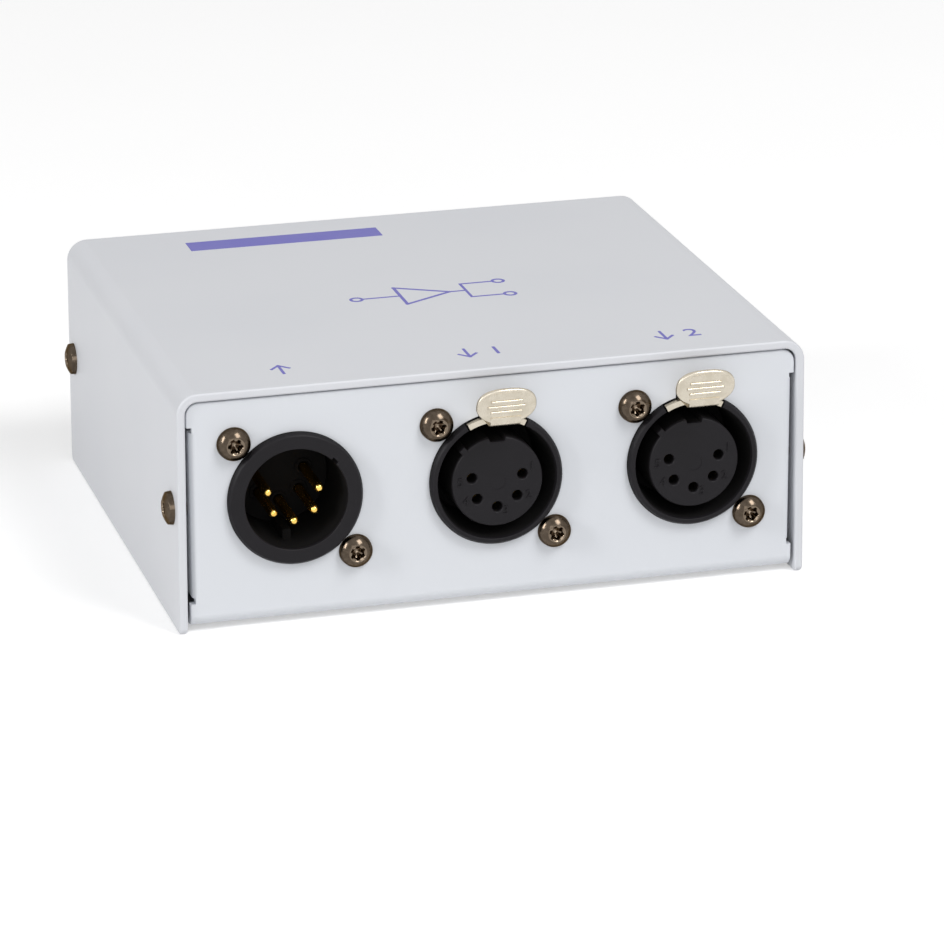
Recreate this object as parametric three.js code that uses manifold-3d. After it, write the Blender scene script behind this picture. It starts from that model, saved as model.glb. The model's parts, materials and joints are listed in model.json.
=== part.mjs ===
// A signal splitter for stage lighting in a small folded steel case: one five-pin input, two
// five-pin outputs with push latches, and a mains inlet at the rear. Lengths are millimetres.
// X runs to the right, Y from the front panel to the rear panel, and Z up from the cover's feet.

import * as THREE from 'three';
import { mergeVertices } from 'three/addons/utils/BufferGeometryUtils.js';
import Module from 'manifold-3d';

const wasm = await Module();
wasm.setup();

// Case: a bent cover over a bent chassis.
const caseWidth = 110;
const caseDepth = 95;
const caseHeight = 42.5;
const sheet = 1.5;
const coverBend = 3.7;
const coverFootRadius = 1.2;
const coverReach = 0.5;
const coverDrop = 1;
const panelSideGap = 0.2;
const panelTopGap = 0.3;
const panelBend = 2.2;
const panelCorner = 2.2;
const sideFlangeInset = 5.2;
const sideFlangeDepth = 10;
const sideFlangeGap = 0.3;
const reliefHeight = 1;
const reliefDepth = 0.7;

// Screws: one button-head family with a six-lobed socket.
const screwRadius = 1.45;
const screwHeadRadius = 2.9;
const screwHeadHeight = 1.7;
const screwHeadEdge = 0.4;
const screwCrownRadius = 1.7;
const socketRadius = 1.4;
const socketDepth = 1.1;
const screwPoint = 0.4;
const coverScrewLength = 5;
const coverScrewInset = 5;
const connectorScrewLength = 6;
const boardScrewLength = 5;
const inletScrewLength = 6;
const threadGap = 0.15;
const shankGap = 0.2;

// Connectors: the row of three behind the front panel. The row stands between the lowest and the
// highest place that the board and the cover leave it, and spreads between the closest pitch that
// the flanges allow and the widest that clears the cover's screws.
const rowHeightShare = 0.3953;
const rowPitchShare = 0.84;
const flangeRoom = 0.2;
const ringRadius = 11.8;
const ringReach = 1.3;
const ringHoleGap = 0.2;
const screwOffsetX = 10.35;
const screwOffsetZ = 10.5;
const ringBiteRadius = 3.4;
const flangeHalf = 13.2;
const flangeThickness = 2.5;
const flangeCorner = 2;
const bodyHalfWidth = 11.5;
const bodyAbove = 12.6;
const bodyBelow = 14;
const bodyDepth = 20;
const insertGap = 0.15;
const insertBossLength = 2;
const pinCircle = 4.55;
const pinStep = 51;

// Input connector: a cup with five pins.
const cupChamfer = 0.15;
const cupRadius = 8.875;
const cupDepth = 13.8;
const cupSeatDepth = 3.5;
const cupBackRadius = 7.4;
const ribSetback = 5.4;
const ribHeight = 1.8;
const ribWidth = 1.5;
const keyHeight = 1.5;
const keyWidth = 2.2;
const keySetback = 3;
const latchPocketWidth = 4;
const latchPocketLength = 2.6;
const latchPocketDepth = 1.2;
const latchPocketSetback = 6.5;
const pinRadius = 0.85;
const pinSetback = 1.35;
const pinTip = 0.7;
const pinGap = 0.1;

// Output connectors: a mouth with an insert of five holes.
const mouthChamfer = 0.4;
const mouthRadius = 10.5;
const mouthFunnel = 1.5;
const plugBore = 9.75;
const plugDepth = 12.3;
const insertSetback = 0.1;
const insertRadius = 8;
const insertDrop = 0.25;
const insertSeat = 4;
const insertBackRadius = 8.4;
const keywayOuterWidth = 3.2;
const keywayInnerWidth = 2.5;
const keywayDepth = 0.9;
const insertRibAngle = 135;
const insertRibWidth = 1.2;
const insertRibHeight = 0.8;
const holeRadius = 0.9;
const holeLip = 1.6;
const contactRadius = 1.2;
const contactBore = 0.88;
const contactGap = 0.12;
const contactLength = 11;
const contactBack = 1;

// Latch of an output: a rocking strip with a push tab outside and a hook inside.
const stripWidth = 5.4;
const stripThickness = 0.8;
const stripHeight = 10.55;
const stripSideGap = 0.3;
const stripTail = 1.2;
const neckReach = 5.3;
const neckBend = 1.2;
const tabWidth = 10.4;
const tabHeight = 6.3;
const tabRise = 1.2;
const tabLean = 12;
const archHalfAngle = 27;
const archInner = 10.3;
const archOuter = 11.35;
const archDepth = 1.1;
const archGap = 0.3;
const hookWidth = 3.6;
const hookLength = 1.8;
const hookReach = 1.35;
const hookSetback = 7;
const pivotDepth = 17;
const pivotRadius = 0.8;
const pivotHalfLength = 8.2;
const pivotGap = 0.2;
const latchSwing = 4;
const latchClearance = 0.3;
const springWire = 0.25;
const springRadius = 1.45;
const springPitch = 1;
const springTurns = 3;
const springGap = 0.3;
const springReach = 3.4;
const springLift = 0.8;

// Circuit board, its legs and its two rear posts.
const boardThickness = 1.6;
const boardSideGap = 1.6;
const boardFrontGap = 0.7;
const boardRearGap = 3;
const legWidth = 0.8;
const legBelow = 1.1;
const legHoleRadius = 0.75;
const legFirstRow = 1.6;
const legRowStep = 2.1;
const postInset = 5;
const postFlats = 5.5;
const spigotRadius = 2;

// Mains inlet in the rear panel.
const inletPostRoom = 6.6;
const inletAboveBoard = 11.9;
const inletWidth = 27;
const inletHeight = 20;
const inletGap = 0.3;
const inletDepth = 20;
const inletFlangeWidth = 48;
const inletFlangeHeight = 22.5;
const inletFlangeThickness = 2.5;
const inletFlangeCorner = 4;
const inletScrewOffset = 20;
const recessWidth = 24.2;
const recessHeight = 16.6;
const recessChamfer = 4.6;
const recessDepth = 15.5;
const bladeSpacing = 7;
const bladeOffset = 2;
const bladeThickness = 2;
const bladeHeight = 4;
const bladeSetback = 3;
const bladeRoot = 2.5;
const bladeGap = 0.1;
const bladeLegRow = 1.4;
const nutFlats = 5.5;
const nutThickness = 2.4;

// Parts on the board: the transformer by the left post, the fuse before the inlet, a column of
// three parts before the right post, and the chips in a row behind the connectors' legs.
const transformerWidth = 32.5;
const transformerLength = 27.5;
const transformerHeight = 22;
const transformerCorner = 1.5;
const transformerSideRoom = 5.85;
const transformerPostRoom = 5.25;
const fuseBladeRoom = 6.6;
const fuseLength = 20;
const fuseRadius = 2.5;
const fuseCapRadius = 2.7;
const fuseCapLength = 5;
const fuseClipLength = 3.5;
const fuseBaseHeight = 2.6;
const fuseBaseWidth = 7.4;
const fuseClipRise = 4.6;
const capacitorRadius = 5;
const capacitorHeight = 16;
const capacitorBevel = 0.6;
const capacitorPostRoom = 6;
const columnInset = 6;
const columnGap = 1.6;
const chipLength = 9.5;
const chipWidth = 6.4;
const chipHeight = 3.3;
const chipLift = 0.5;
const chipLegWidth = 0.6;
const chipLegReach = 0.7;
const chipLegPitch = 2.54;
const rectifierLength = 8.3;
const rectifierWidth = 6.5;
const regulatorWidth = 10;
const regulatorThickness = 4.5;
const regulatorHeight = 9;
const regulatorLift = 3;
const heatTabHeight = 6.4;
const heatTabThickness = 1.3;
const heatTabHoleRadius = 1.8;

// Every cut runs this far past the faces that it opens.
const overrun = 1;

// Counts of flat facets round the turned shapes, and of pairs of facets in each arc.
const ringFacets = 40;
const insertFacets = 28;
const holeFacets = 12;
const rodFacets = 10;
const legHoleFacets = 8;
const bendFacets = 2;
const archFacets = 4;

// Places that follow from the sizes above.
const between = (low, high, share) => low + (high - low) * share;
const panelFront = coverReach;
const panelRear = caseDepth - coverReach;
const panelHalf = caseWidth / 2 - sheet - panelSideGap;
const panelTop = caseHeight - sheet - panelTopGap;
const floorTop = coverDrop + sheet;
const sideFlangeFace = caseWidth / 2 - sheet - sideFlangeGap;
const sideFlangeLow = coverDrop + sideFlangeInset;
const sideFlangeHigh = panelTop - sideFlangeInset;
const coverScrewHeight = caseHeight / 2;
const rowLow = floorTop + legBelow + boardThickness + bodyBelow;
const rowHeight = between(rowLow, caseHeight - sheet - flangeHalf, rowHeightShare);
const widestPitch = caseWidth / 2 - coverScrewLength - flangeRoom - flangeHalf;
const rowPitch = between(flangeHalf * 2 + flangeRoom, widestPitch, rowPitchShare);
const boardTop = rowHeight - bodyBelow;
const boardBottom = boardTop - boardThickness;
const boardHalf = sideFlangeFace - sheet - boardSideGap;
const boardFront = panelFront + sheet + flangeThickness + boardFrontGap;
const boardRear = panelRear - sheet - boardRearGap;
const postX = boardHalf - postInset;
const postY = boardRear - postInset;
const inletX = postX - inletPostRoom - inletWidth / 2;
const inletZ = boardTop + inletAboveBoard;
const stripTop = stripHeight + stripThickness;
const pivotHeight = stripHeight + stripThickness / 2;
const slotHalf = stripWidth / 2 + stripSideGap;
const notchTop = stripTop + pivotDepth * Math.sin(THREE.MathUtils.degToRad(latchSwing)) + latchClearance;
const springStart = slotHalf + springGap + springWire;
const bladeLegY = panelRear - inletDepth - bladeRoot - bladeLegRow;
const transformerX = transformerSideRoom + transformerWidth / 2 - boardHalf;
const transformerY = postY - transformerPostRoom - transformerLength / 2;
const fuseY = bladeLegY - fuseBladeRoom;
const columnX = boardHalf - columnInset;
const capacitorY = postY - capacitorPostRoom - capacitorRadius;
const rectifierHalf = rectifierWidth / 2 + chipLegReach;
const rectifierY = capacitorY - capacitorRadius - columnGap - rectifierHalf;
const regulatorY = rectifierY - rectifierHalf - columnGap - regulatorThickness;
const bladePlaces = [[-bladeSpacing, -bladeOffset], [bladeSpacing, -bladeOffset], [0, bladeOffset]];
const outputXs = [0, rowPitch];
const connectorXs = [-rowPitch, ...outputXs];
const screwPlaces = [[-screwOffsetX, screwOffsetZ], [screwOffsetX, -screwOffsetZ]];

// Finishes.
const finish = (color, roughness, metalness) => (
  new THREE.MeshStandardMaterial({ color, roughness, metalness })
);
const whitePaint = finish(0xe4e8ec, 0.55, 0);
const blackPlastic = finish(0x1b1b1d, 0.6, 0);
const darkBronze = finish(0x5c4a3a, 0.32, 1);
const nickel = finish(0xd9d2c0, 0.28, 1);
const gold = finish(0xe0a93a, 0.25, 1);
const springSteel = finish(0x9a9a98, 0.35, 1);
const boardGreen = finish(0x1f5a35, 0.5, 0);
const pottingBlue = finish(0x2b3f66, 0.6, 0);
const chipBlack = finish(0x202022, 0.7, 0);
const canSleeve = finish(0x24304a, 0.5, 0);
const glass = finish(0xcfd8d6, 0.2, 0);

// A three.js geometry as a solid with its faces pointing out.
function toSolid(geometry) {
  const bare = new THREE.BufferGeometry();
  bare.setAttribute('position', geometry.getAttribute('position'));
  if (geometry.index) bare.setIndex(geometry.index);
  const merged = mergeVertices(bare);
  const corners = merged.index.array;
  const triangles = [];
  for (let i = 0; i < corners.length; i += 3) {
    const [a, b, c] = corners.slice(i, i + 3);
    if (a !== b && b !== c && c !== a) triangles.push(a, b, c);
  }
  const vertProperties = new Float32Array(merged.getAttribute('position').array);
  const make = () => new wasm.Manifold(new wasm.Mesh({
    numProp: 3, vertProperties, triVerts: new Uint32Array(triangles),
  }));
  const solid = make();
  if (solid.volume() > 0) return solid;
  for (let i = 0; i < triangles.length; i += 3) {
    const first = triangles[i];
    triangles[i] = triangles[i + 1];
    triangles[i + 1] = first;
  }
  return make();
}

// Axis maps for outlines: the outline's own Z, its thickness, comes to lie along X, Y or Z.
const alongZ = new THREE.Matrix4();
const alongY = new THREE.Matrix4().set(1, 0, 0, 0, 0, 0, 1, 0, 0, 1, 0, 0, 0, 0, 0, 1);
const alongX = new THREE.Matrix4().set(0, 0, 1, 0, 1, 0, 0, 0, 0, 1, 0, 0, 0, 0, 0, 1);

function block([x0, x1], [y0, y1], [z0, z1]) {
  const geometry = new THREE.BoxGeometry(x1 - x0, y1 - y0, z1 - z0);
  geometry.translate((x0 + x1) / 2, (y0 + y1) / 2, (z0 + z1) / 2);
  return toSolid(geometry);
}

// A flat outline made thick from one place to another along an axis.
function slab(shape, axis, from, to, curveSegments = bendFacets) {
  const depth = to - from;
  const geometry = new THREE.ExtrudeGeometry(shape, { depth, bevelEnabled: false, curveSegments });
  geometry.translate(0, 0, from);
  geometry.applyMatrix4(axis);
  return toSolid(geometry);
}

// A profile of [radius, distance along Y] turned round an axis that runs along Y at x and z.
function turned(profile, facets, [x, z] = [0, 0]) {
  const points = profile.map(([radius, along]) => new THREE.Vector2(radius, along));
  return toSolid(new THREE.LatheGeometry(points, facets).translate(x, 0, z));
}

// The same profile turned round an axis that stands along Z at x and y.
function turnedUpright(profile, facets, [x, y]) {
  const points = profile.map(([radius, along]) => new THREE.Vector2(radius, along));
  return toSolid(new THREE.LatheGeometry(points, facets).rotateX(Math.PI / 2).translate(x, y, 0));
}

const ordered = (a, b) => (a < b ? [a, b] : [b, a]);
const around = (centre, half) => [centre - half, centre + half];

// A plain round rod or hole from one place to another along an axis, through a given centre.
function rod(radius, axis, from, to, [u, v], facets = holeFacets) {
  const circle = new THREE.Shape().absarc(u, v, radius, 0, Math.PI * 2);
  return slab(circle, axis, from, to, facets / 2);
}

function roundedPlate(halfWidth, low, high, radius) {
  const shape = new THREE.Shape();
  shape.moveTo(-halfWidth + radius, low);
  shape.absarc(halfWidth - radius, low + radius, radius, -Math.PI / 2, 0);
  shape.absarc(halfWidth - radius, high - radius, radius, 0, Math.PI / 2);
  shape.absarc(-halfWidth + radius, high - radius, radius, Math.PI / 2, Math.PI);
  shape.absarc(-halfWidth + radius, low + radius, radius, Math.PI, Math.PI * 1.5);
  return shape;
}

function regularOutline(sides, acrossFlats) {
  const shape = new THREE.Shape();
  const radius = acrossFlats / 2 / Math.cos(Math.PI / sides);
  for (let i = 0; i < sides; i += 1) {
    const angle = (i + 0.5) * Math.PI * 2 / sides;
    const go = i === 0 ? 'moveTo' : 'lineTo';
    shape[go](radius * Math.cos(angle), radius * Math.sin(angle));
  }
  return shape;
}

// A sheet bent into a U that stands on its base: half its outer span, its height and its bends.
function channel(half, rise, radius) {
  const inner = radius - sheet;
  const shape = new THREE.Shape();
  shape.moveTo(-half, rise);
  shape.lineTo(-half, radius);
  shape.absarc(-half + radius, radius, radius, Math.PI, Math.PI * 1.5);
  shape.absarc(half - radius, radius, radius, -Math.PI / 2, 0);
  shape.lineTo(half, rise);
  shape.lineTo(half - sheet, rise);
  shape.lineTo(half - sheet, radius);
  shape.absarc(half - radius, radius, inner, 0, -Math.PI / 2, true);
  shape.absarc(-half + radius, radius, inner, -Math.PI / 2, -Math.PI, true);
  shape.lineTo(-half + sheet, rise);
  return shape;
}

const model = new THREE.Group();

function piece(name, solid, material, parent = model) {
  const { vertProperties, triVerts } = solid.getMesh();
  const geometry = new THREE.BufferGeometry();
  geometry.setAttribute('position', new THREE.BufferAttribute(new Float32Array(vertProperties), 3));
  geometry.setIndex(new THREE.BufferAttribute(new Uint32Array(triVerts), 1));
  geometry.computeVertexNormals();
  const mesh = new THREE.Mesh(geometry, material);
  mesh.name = name;
  parent.add(mesh);
  return mesh;
}

// Cover: one sheet bent down at both sides, open at the front, the rear and below.
function makeCover() {
  const geometry = new THREE.ExtrudeGeometry(channel(caseWidth / 2, caseHeight, coverBend), {
    depth: caseDepth, bevelEnabled: false, curveSegments: bendFacets,
  });
  geometry.applyMatrix4(alongY);
  geometry.rotateY(Math.PI);
  geometry.translate(0, 0, caseHeight);
  const side = new THREE.Shape();
  side.moveTo(0, caseHeight);
  side.lineTo(0, coverFootRadius);
  side.absarc(coverFootRadius, coverFootRadius, coverFootRadius, Math.PI, Math.PI * 1.5);
  side.absarc(caseDepth - coverFootRadius, coverFootRadius, coverFootRadius, -Math.PI / 2, 0);
  side.lineTo(caseDepth, caseHeight);
  let cover = toSolid(geometry).intersect(slab(side, alongX, -caseWidth / 2, caseWidth / 2));
  for (const y of [coverScrewInset, caseDepth - coverScrewInset]) {
    const radius = screwRadius + shankGap;
    cover = cover.subtract(rod(radius, alongX, -caseWidth, caseWidth, [y, coverScrewHeight]));
  }
  piece('top_cover', cover, whitePaint);
}

// One of the four side flanges, in plan, from the panel's outer face backwards.
function sideFlangeOutline() {
  const inner = panelBend - sheet;
  const face = sideFlangeFace;
  const shape = new THREE.Shape();
  shape.moveTo(face - panelBend - overrun, 0);
  shape.lineTo(face - panelBend, 0);
  shape.absarc(face - panelBend, panelBend, panelBend, -Math.PI / 2, 0);
  shape.lineTo(face, sideFlangeDepth);
  shape.lineTo(face - sheet, sideFlangeDepth);
  shape.absarc(face - panelBend, panelBend, inner, 0, -Math.PI / 2, true);
  shape.lineTo(face - panelBend - overrun, sheet);
  return shape;
}

// Chassis: front panel, floor and rear panel in one sheet, with side flanges for the cover's screws.
function makeChassis() {
  const span = panelRear - panelFront;
  const geometry = new THREE.ExtrudeGeometry(channel(span / 2, panelTop - coverDrop, panelBend), {
    depth: panelHalf * 2, bevelEnabled: false, curveSegments: bendFacets,
  });
  geometry.applyMatrix4(alongX);
  geometry.translate(-panelHalf, caseDepth / 2, coverDrop);
  const corners = new THREE.Shape();
  corners.moveTo(-panelHalf, coverDrop - overrun);
  corners.lineTo(panelHalf, coverDrop - overrun);
  corners.absarc(panelHalf - panelCorner, panelTop - panelCorner, panelCorner, 0, Math.PI / 2);
  corners.absarc(-panelHalf + panelCorner, panelTop - panelCorner, panelCorner, Math.PI / 2, Math.PI);
  let chassis = toSolid(geometry).intersect(slab(corners, alongY, 0, caseDepth));
  for (const side of [-1, 1]) {
    for (const end of [-1, 1]) {
      const outer = end < 0 ? panelFront : panelRear;
      const through = ordered(outer - end * (sheet + overrun), outer + end * overrun);
      const relief = [sideFlangeLow - reliefHeight, sideFlangeHigh + reliefHeight];
      const reliefEdge = ordered(side * (panelHalf - reliefDepth), side * caseWidth / 2);
      const bendEdge = ordered(side * (sideFlangeFace - panelBend), side * caseWidth / 2);
      chassis = chassis.subtract(block(reliefEdge, through, relief));
      chassis = chassis.subtract(block(bendEdge, through, [sideFlangeLow, sideFlangeHigh]));
      const flange = new THREE.ExtrudeGeometry(sideFlangeOutline(), {
        depth: sideFlangeHigh - sideFlangeLow, bevelEnabled: false, curveSegments: bendFacets,
      });
      flange.scale(side, -end, 1);
      flange.translate(0, outer, sideFlangeLow);
      chassis = chassis.add(toSolid(flange));
    }
  }
  for (const y of [coverScrewInset, caseDepth - coverScrewInset]) {
    const radius = screwRadius + threadGap;
    chassis = chassis.subtract(rod(radius, alongX, -caseWidth, caseWidth, [y, coverScrewHeight]));
  }
  const frontCut = [panelFront - overrun, panelFront + sheet + overrun];
  for (const x of connectorXs) {
    const hole = rod(ringRadius + ringHoleGap, alongY, ...frontCut, [x, rowHeight], ringFacets);
    chassis = chassis.subtract(hole);
    for (const [dx, dz] of screwPlaces) {
      const centre = [x + dx, rowHeight + dz];
      chassis = chassis.subtract(rod(screwRadius + shankGap, alongY, ...frontCut, centre));
    }
  }
  for (const x of outputXs) {
    const notch = [rowHeight + stripHeight, rowHeight + notchTop];
    chassis = chassis.subtract(block(around(x, slotHalf), frontCut, notch));
  }
  const rearCut = [panelRear - sheet - overrun, panelRear + overrun];
  const inletWide = around(inletX, inletWidth / 2 + inletGap);
  const inletHigh = around(inletZ, inletHeight / 2 + inletGap);
  chassis = chassis.subtract(block(inletWide, rearCut, inletHigh));
  for (const side of [-1, 1]) {
    const centre = [inletX + side * inletScrewOffset, inletZ];
    chassis = chassis.subtract(rod(screwRadius + shankGap, alongY, ...rearCut, centre));
    const spigot = [coverDrop - overrun, floorTop + overrun];
    chassis = chassis.subtract(rod(spigotRadius + threadGap, alongZ, ...spigot, [side * postX, postY]));
  }
  piece('chassis', chassis, whitePaint);
}

// A button-head screw with its head's underside at the origin and its shank along Y.
function buttonScrew(length) {
  const profile = [[0, -screwHeadHeight], [screwCrownRadius, -screwHeadHeight]];
  const domeSteps = 3;
  for (let i = 1; i <= domeSteps; i += 1) {
    const angle = (i / domeSteps) * Math.PI / 2;
    const radius = screwCrownRadius + (screwHeadRadius - screwCrownRadius) * Math.sin(angle);
    const along = -screwHeadEdge - (screwHeadHeight - screwHeadEdge) * Math.cos(angle);
    profile.push([radius, along]);
  }
  profile.push([screwHeadRadius, 0], [screwRadius, 0], [screwRadius, length - screwPoint]);
  profile.push([screwRadius - screwPoint, length], [0, length]);
  const socket = new THREE.Shape();
  const lobes = 6;
  const valleyShare = 0.7;
  for (let i = 0; i < lobes * 2; i += 1) {
    const angle = i * Math.PI / lobes;
    const radius = i % 2 === 0 ? socketRadius : socketRadius * valleyShare;
    const go = i === 0 ? 'moveTo' : 'lineTo';
    socket[go](radius * Math.cos(angle), radius * Math.sin(angle));
  }
  const cut = slab(socket, alongY, -screwHeadHeight - overrun, -screwHeadHeight + socketDepth);
  return turned(profile, holeFacets).subtract(cut);
}

function makeCoverScrews() {
  const screw = buttonScrew(coverScrewLength);
  for (const [side, sideName] of [[-1, 'left'], [1, 'right']]) {
    for (const [y, endName] of [[coverScrewInset, 'front'], [caseDepth - coverScrewInset, 'rear']]) {
      const mesh = piece(`cover_screw_${sideName}_${endName}`, screw, darkBronze);
      mesh.rotation.z = side * Math.PI / 2;
      mesh.position.set(side * caseWidth / 2, y, coverScrewHeight);
    }
  }
}

// Places of the five contacts round the connector's centre, the first on the given side.
function contactPlaces(firstSide) {
  return [2, 1, 0, -1, -2].map((step) => {
    const angle = THREE.MathUtils.degToRad(step * pinStep);
    return [firstSide * pinCircle * Math.sin(angle), -pinCircle * Math.cos(angle)];
  });
}

// Rows of legs behind a connector: the second and the fourth contact stand in the front row.
const legRow = (index) => sheet + bodyDepth + legFirstRow + (index % 2 === 0 ? legRowStep : 0);

// A square leg from a contact's rear end back to its row and down through the board.
function contactLeg([x, z], from, index) {
  const half = legWidth / 2;
  const row = legRow(index);
  const foot = boardBottom - legBelow - rowHeight;
  const tail = block(around(x, half), [from, row + half], around(z, half));
  return tail.add(block(around(x, half), around(row, half), [foot, z]));
}

// What the three connectors share: the ring through the panel, the flange behind it and the body.
// Y starts at the panel's front face and Z at the connector's centre.
function connectorBody(chamfer) {
  const ring = [[0, -ringReach], [ringRadius - chamfer, -ringReach], [ringRadius, -ringReach + chamfer]];
  ring.push([ringRadius, sheet + flangeThickness], [0, sheet + flangeThickness]);
  const rim = turned(ring, ringFacets);
  const flangeBack = sheet + flangeThickness;
  const plate = roundedPlate(flangeHalf, -flangeHalf, flangeHalf, flangeCorner);
  const flange = slab(plate, alongY, sheet, flangeBack);
  const body = block(around(0, bodyHalfWidth), [flangeBack, sheet + bodyDepth], [-bodyBelow, bodyAbove]);
  let shell = rim.add(flange).add(body);
  for (const centre of screwPlaces) {
    shell = shell.subtract(rod(ringBiteRadius, alongY, -ringReach - overrun, 0, centre));
    const tip = connectorScrewLength + overrun;
    shell = shell.subtract(rod(screwRadius + threadGap, alongY, 0, tip, centre));
  }
  return shell;
}

// Input: a deep cup, closed by the insert that holds the pins.
function makeInputShell(parent) {
  const seat = cupDepth - ringReach + cupSeatDepth;
  const behind = sheet + bodyDepth + overrun;
  const bore = [[0, -ringReach - overrun], [cupRadius, -ringReach - overrun], [cupRadius, seat]];
  bore.push([cupBackRadius, seat], [cupBackRadius, behind], [0, behind]);
  let shell = connectorBody(cupChamfer).subtract(turned(bore, ringFacets));
  const cupFloor = cupDepth - ringReach;
  const wall = cupRadius + overrun;
  const ribLength = [ribSetback - ringReach, cupFloor];
  const keyLength = [keySetback - ringReach, cupFloor];
  shell = shell.add(block(around(0, ribWidth / 2), ribLength, [-wall, ribHeight - cupRadius]));
  shell = shell.add(block(around(0, keyWidth / 2), keyLength, [cupRadius - keyHeight, wall]));
  const pocketFront = latchPocketSetback - ringReach;
  const pocketLength = [pocketFront, pocketFront + latchPocketLength];
  const pocketHeight = [cupRadius - keyHeight - overrun, cupRadius + latchPocketDepth];
  shell = shell.subtract(block(around(0, latchPocketWidth / 2), pocketLength, pocketHeight));
  piece('input_shell', shell, blackPlastic, parent);
}

function makeInputContacts(parent) {
  const cupFloor = cupDepth - ringReach;
  const seat = cupFloor + cupSeatDepth;
  const back = seat + insertBossLength;
  const disc = [[0, cupFloor], [cupRadius - insertGap, cupFloor], [cupRadius - insertGap, seat]];
  disc.push([cupBackRadius - insertGap, seat], [cupBackRadius - insertGap, back], [0, back]);
  let insert = turned(disc, insertFacets);
  const front = pinSetback - ringReach;
  const tipShare = 0.55;
  contactPlaces(-1).forEach(([x, z], index) => {
    const hole = [cupFloor - overrun, back + overrun];
    insert = insert.subtract(rod(pinRadius + pinGap, alongY, ...hole, [x, z], rodFacets));
    const profile = [[0, front], [pinRadius * tipShare, front + pinTip * (1 - tipShare) / 2]];
    profile.push([pinRadius, front + pinTip], [pinRadius, back], [0, back]);
    const pin = turned(profile, rodFacets, [x, z]).add(contactLeg([x, z], seat, index));
    piece(`input_pin_${index + 1}`, pin, gold, parent);
  });
  piece('input_insert', insert, blackPlastic, parent);
}

// Output: a funnelled mouth for the plug's tube, with a slot above it for the latch.
function makeOutputShell(name, parent) {
  const seat = plugDepth + insertSeat - ringReach;
  const back = sheet + bodyDepth;
  const bore = [[0, -ringReach - overrun], [mouthRadius, -ringReach - overrun], [mouthRadius, -ringReach]];
  bore.push([plugBore, mouthFunnel - ringReach], [plugBore, seat], [insertBackRadius, seat]);
  bore.push([insertBackRadius, back + overrun], [0, back + overrun]);
  let shell = connectorBody(mouthChamfer).subtract(turned(bore, ringFacets));
  const top = flangeHalf + overrun;
  const low = stripHeight - latchClearance;
  const slotEnd = pivotDepth + stripTail + latchClearance;
  shell = shell.subtract(block(around(0, slotHalf), [-ringReach - overrun, slotEnd], [low, top]));
  const hookFront = hookSetback - ringReach;
  const hookRange = [hookFront - latchClearance, hookFront + hookLength + latchClearance];
  const hookHalf = hookWidth / 2 + latchClearance;
  shell = shell.subtract(block(around(0, hookHalf), hookRange, [plugBore - hookReach, low + overrun]));
  const archAngle = archHalfAngle + THREE.MathUtils.radToDeg(archGap / archOuter);
  const archBack = archDepth - ringReach + archGap;
  const arch = archOutline(archAngle, archInner - archGap, top);
  shell = shell.subtract(slab(arch, alongY, -ringReach - overrun, archBack, archFacets));
  const bearing = pivotRadius + pivotGap;
  const bearingWide = around(0, pivotHalfLength + pivotGap);
  const bearingHigh = [pivotHeight - bearing, top];
  shell = shell.subtract(block(bearingWide, around(pivotDepth, bearing), bearingHigh));
  const coil = springRadius + springWire + springGap * 2;
  const coilEnd = springStart + springPitch * springTurns + springWire + springGap;
  shell = shell.subtract(block([0, coilEnd], around(pivotDepth, coil), [pivotHeight - coil, top]));
  piece(`${name}_shell`, shell, blackPlastic, parent);
}

// A band of a ring over the connector's top, from one radius out to another.
function archOutline(halfAngle, inner, outer) {
  const half = THREE.MathUtils.degToRad(halfAngle);
  const shape = new THREE.Shape();
  shape.absarc(0, 0, outer, Math.PI / 2 - half, Math.PI / 2 + half);
  shape.absarc(0, 0, inner, Math.PI / 2 + half, Math.PI / 2 - half, true);
  return shape;
}

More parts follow.
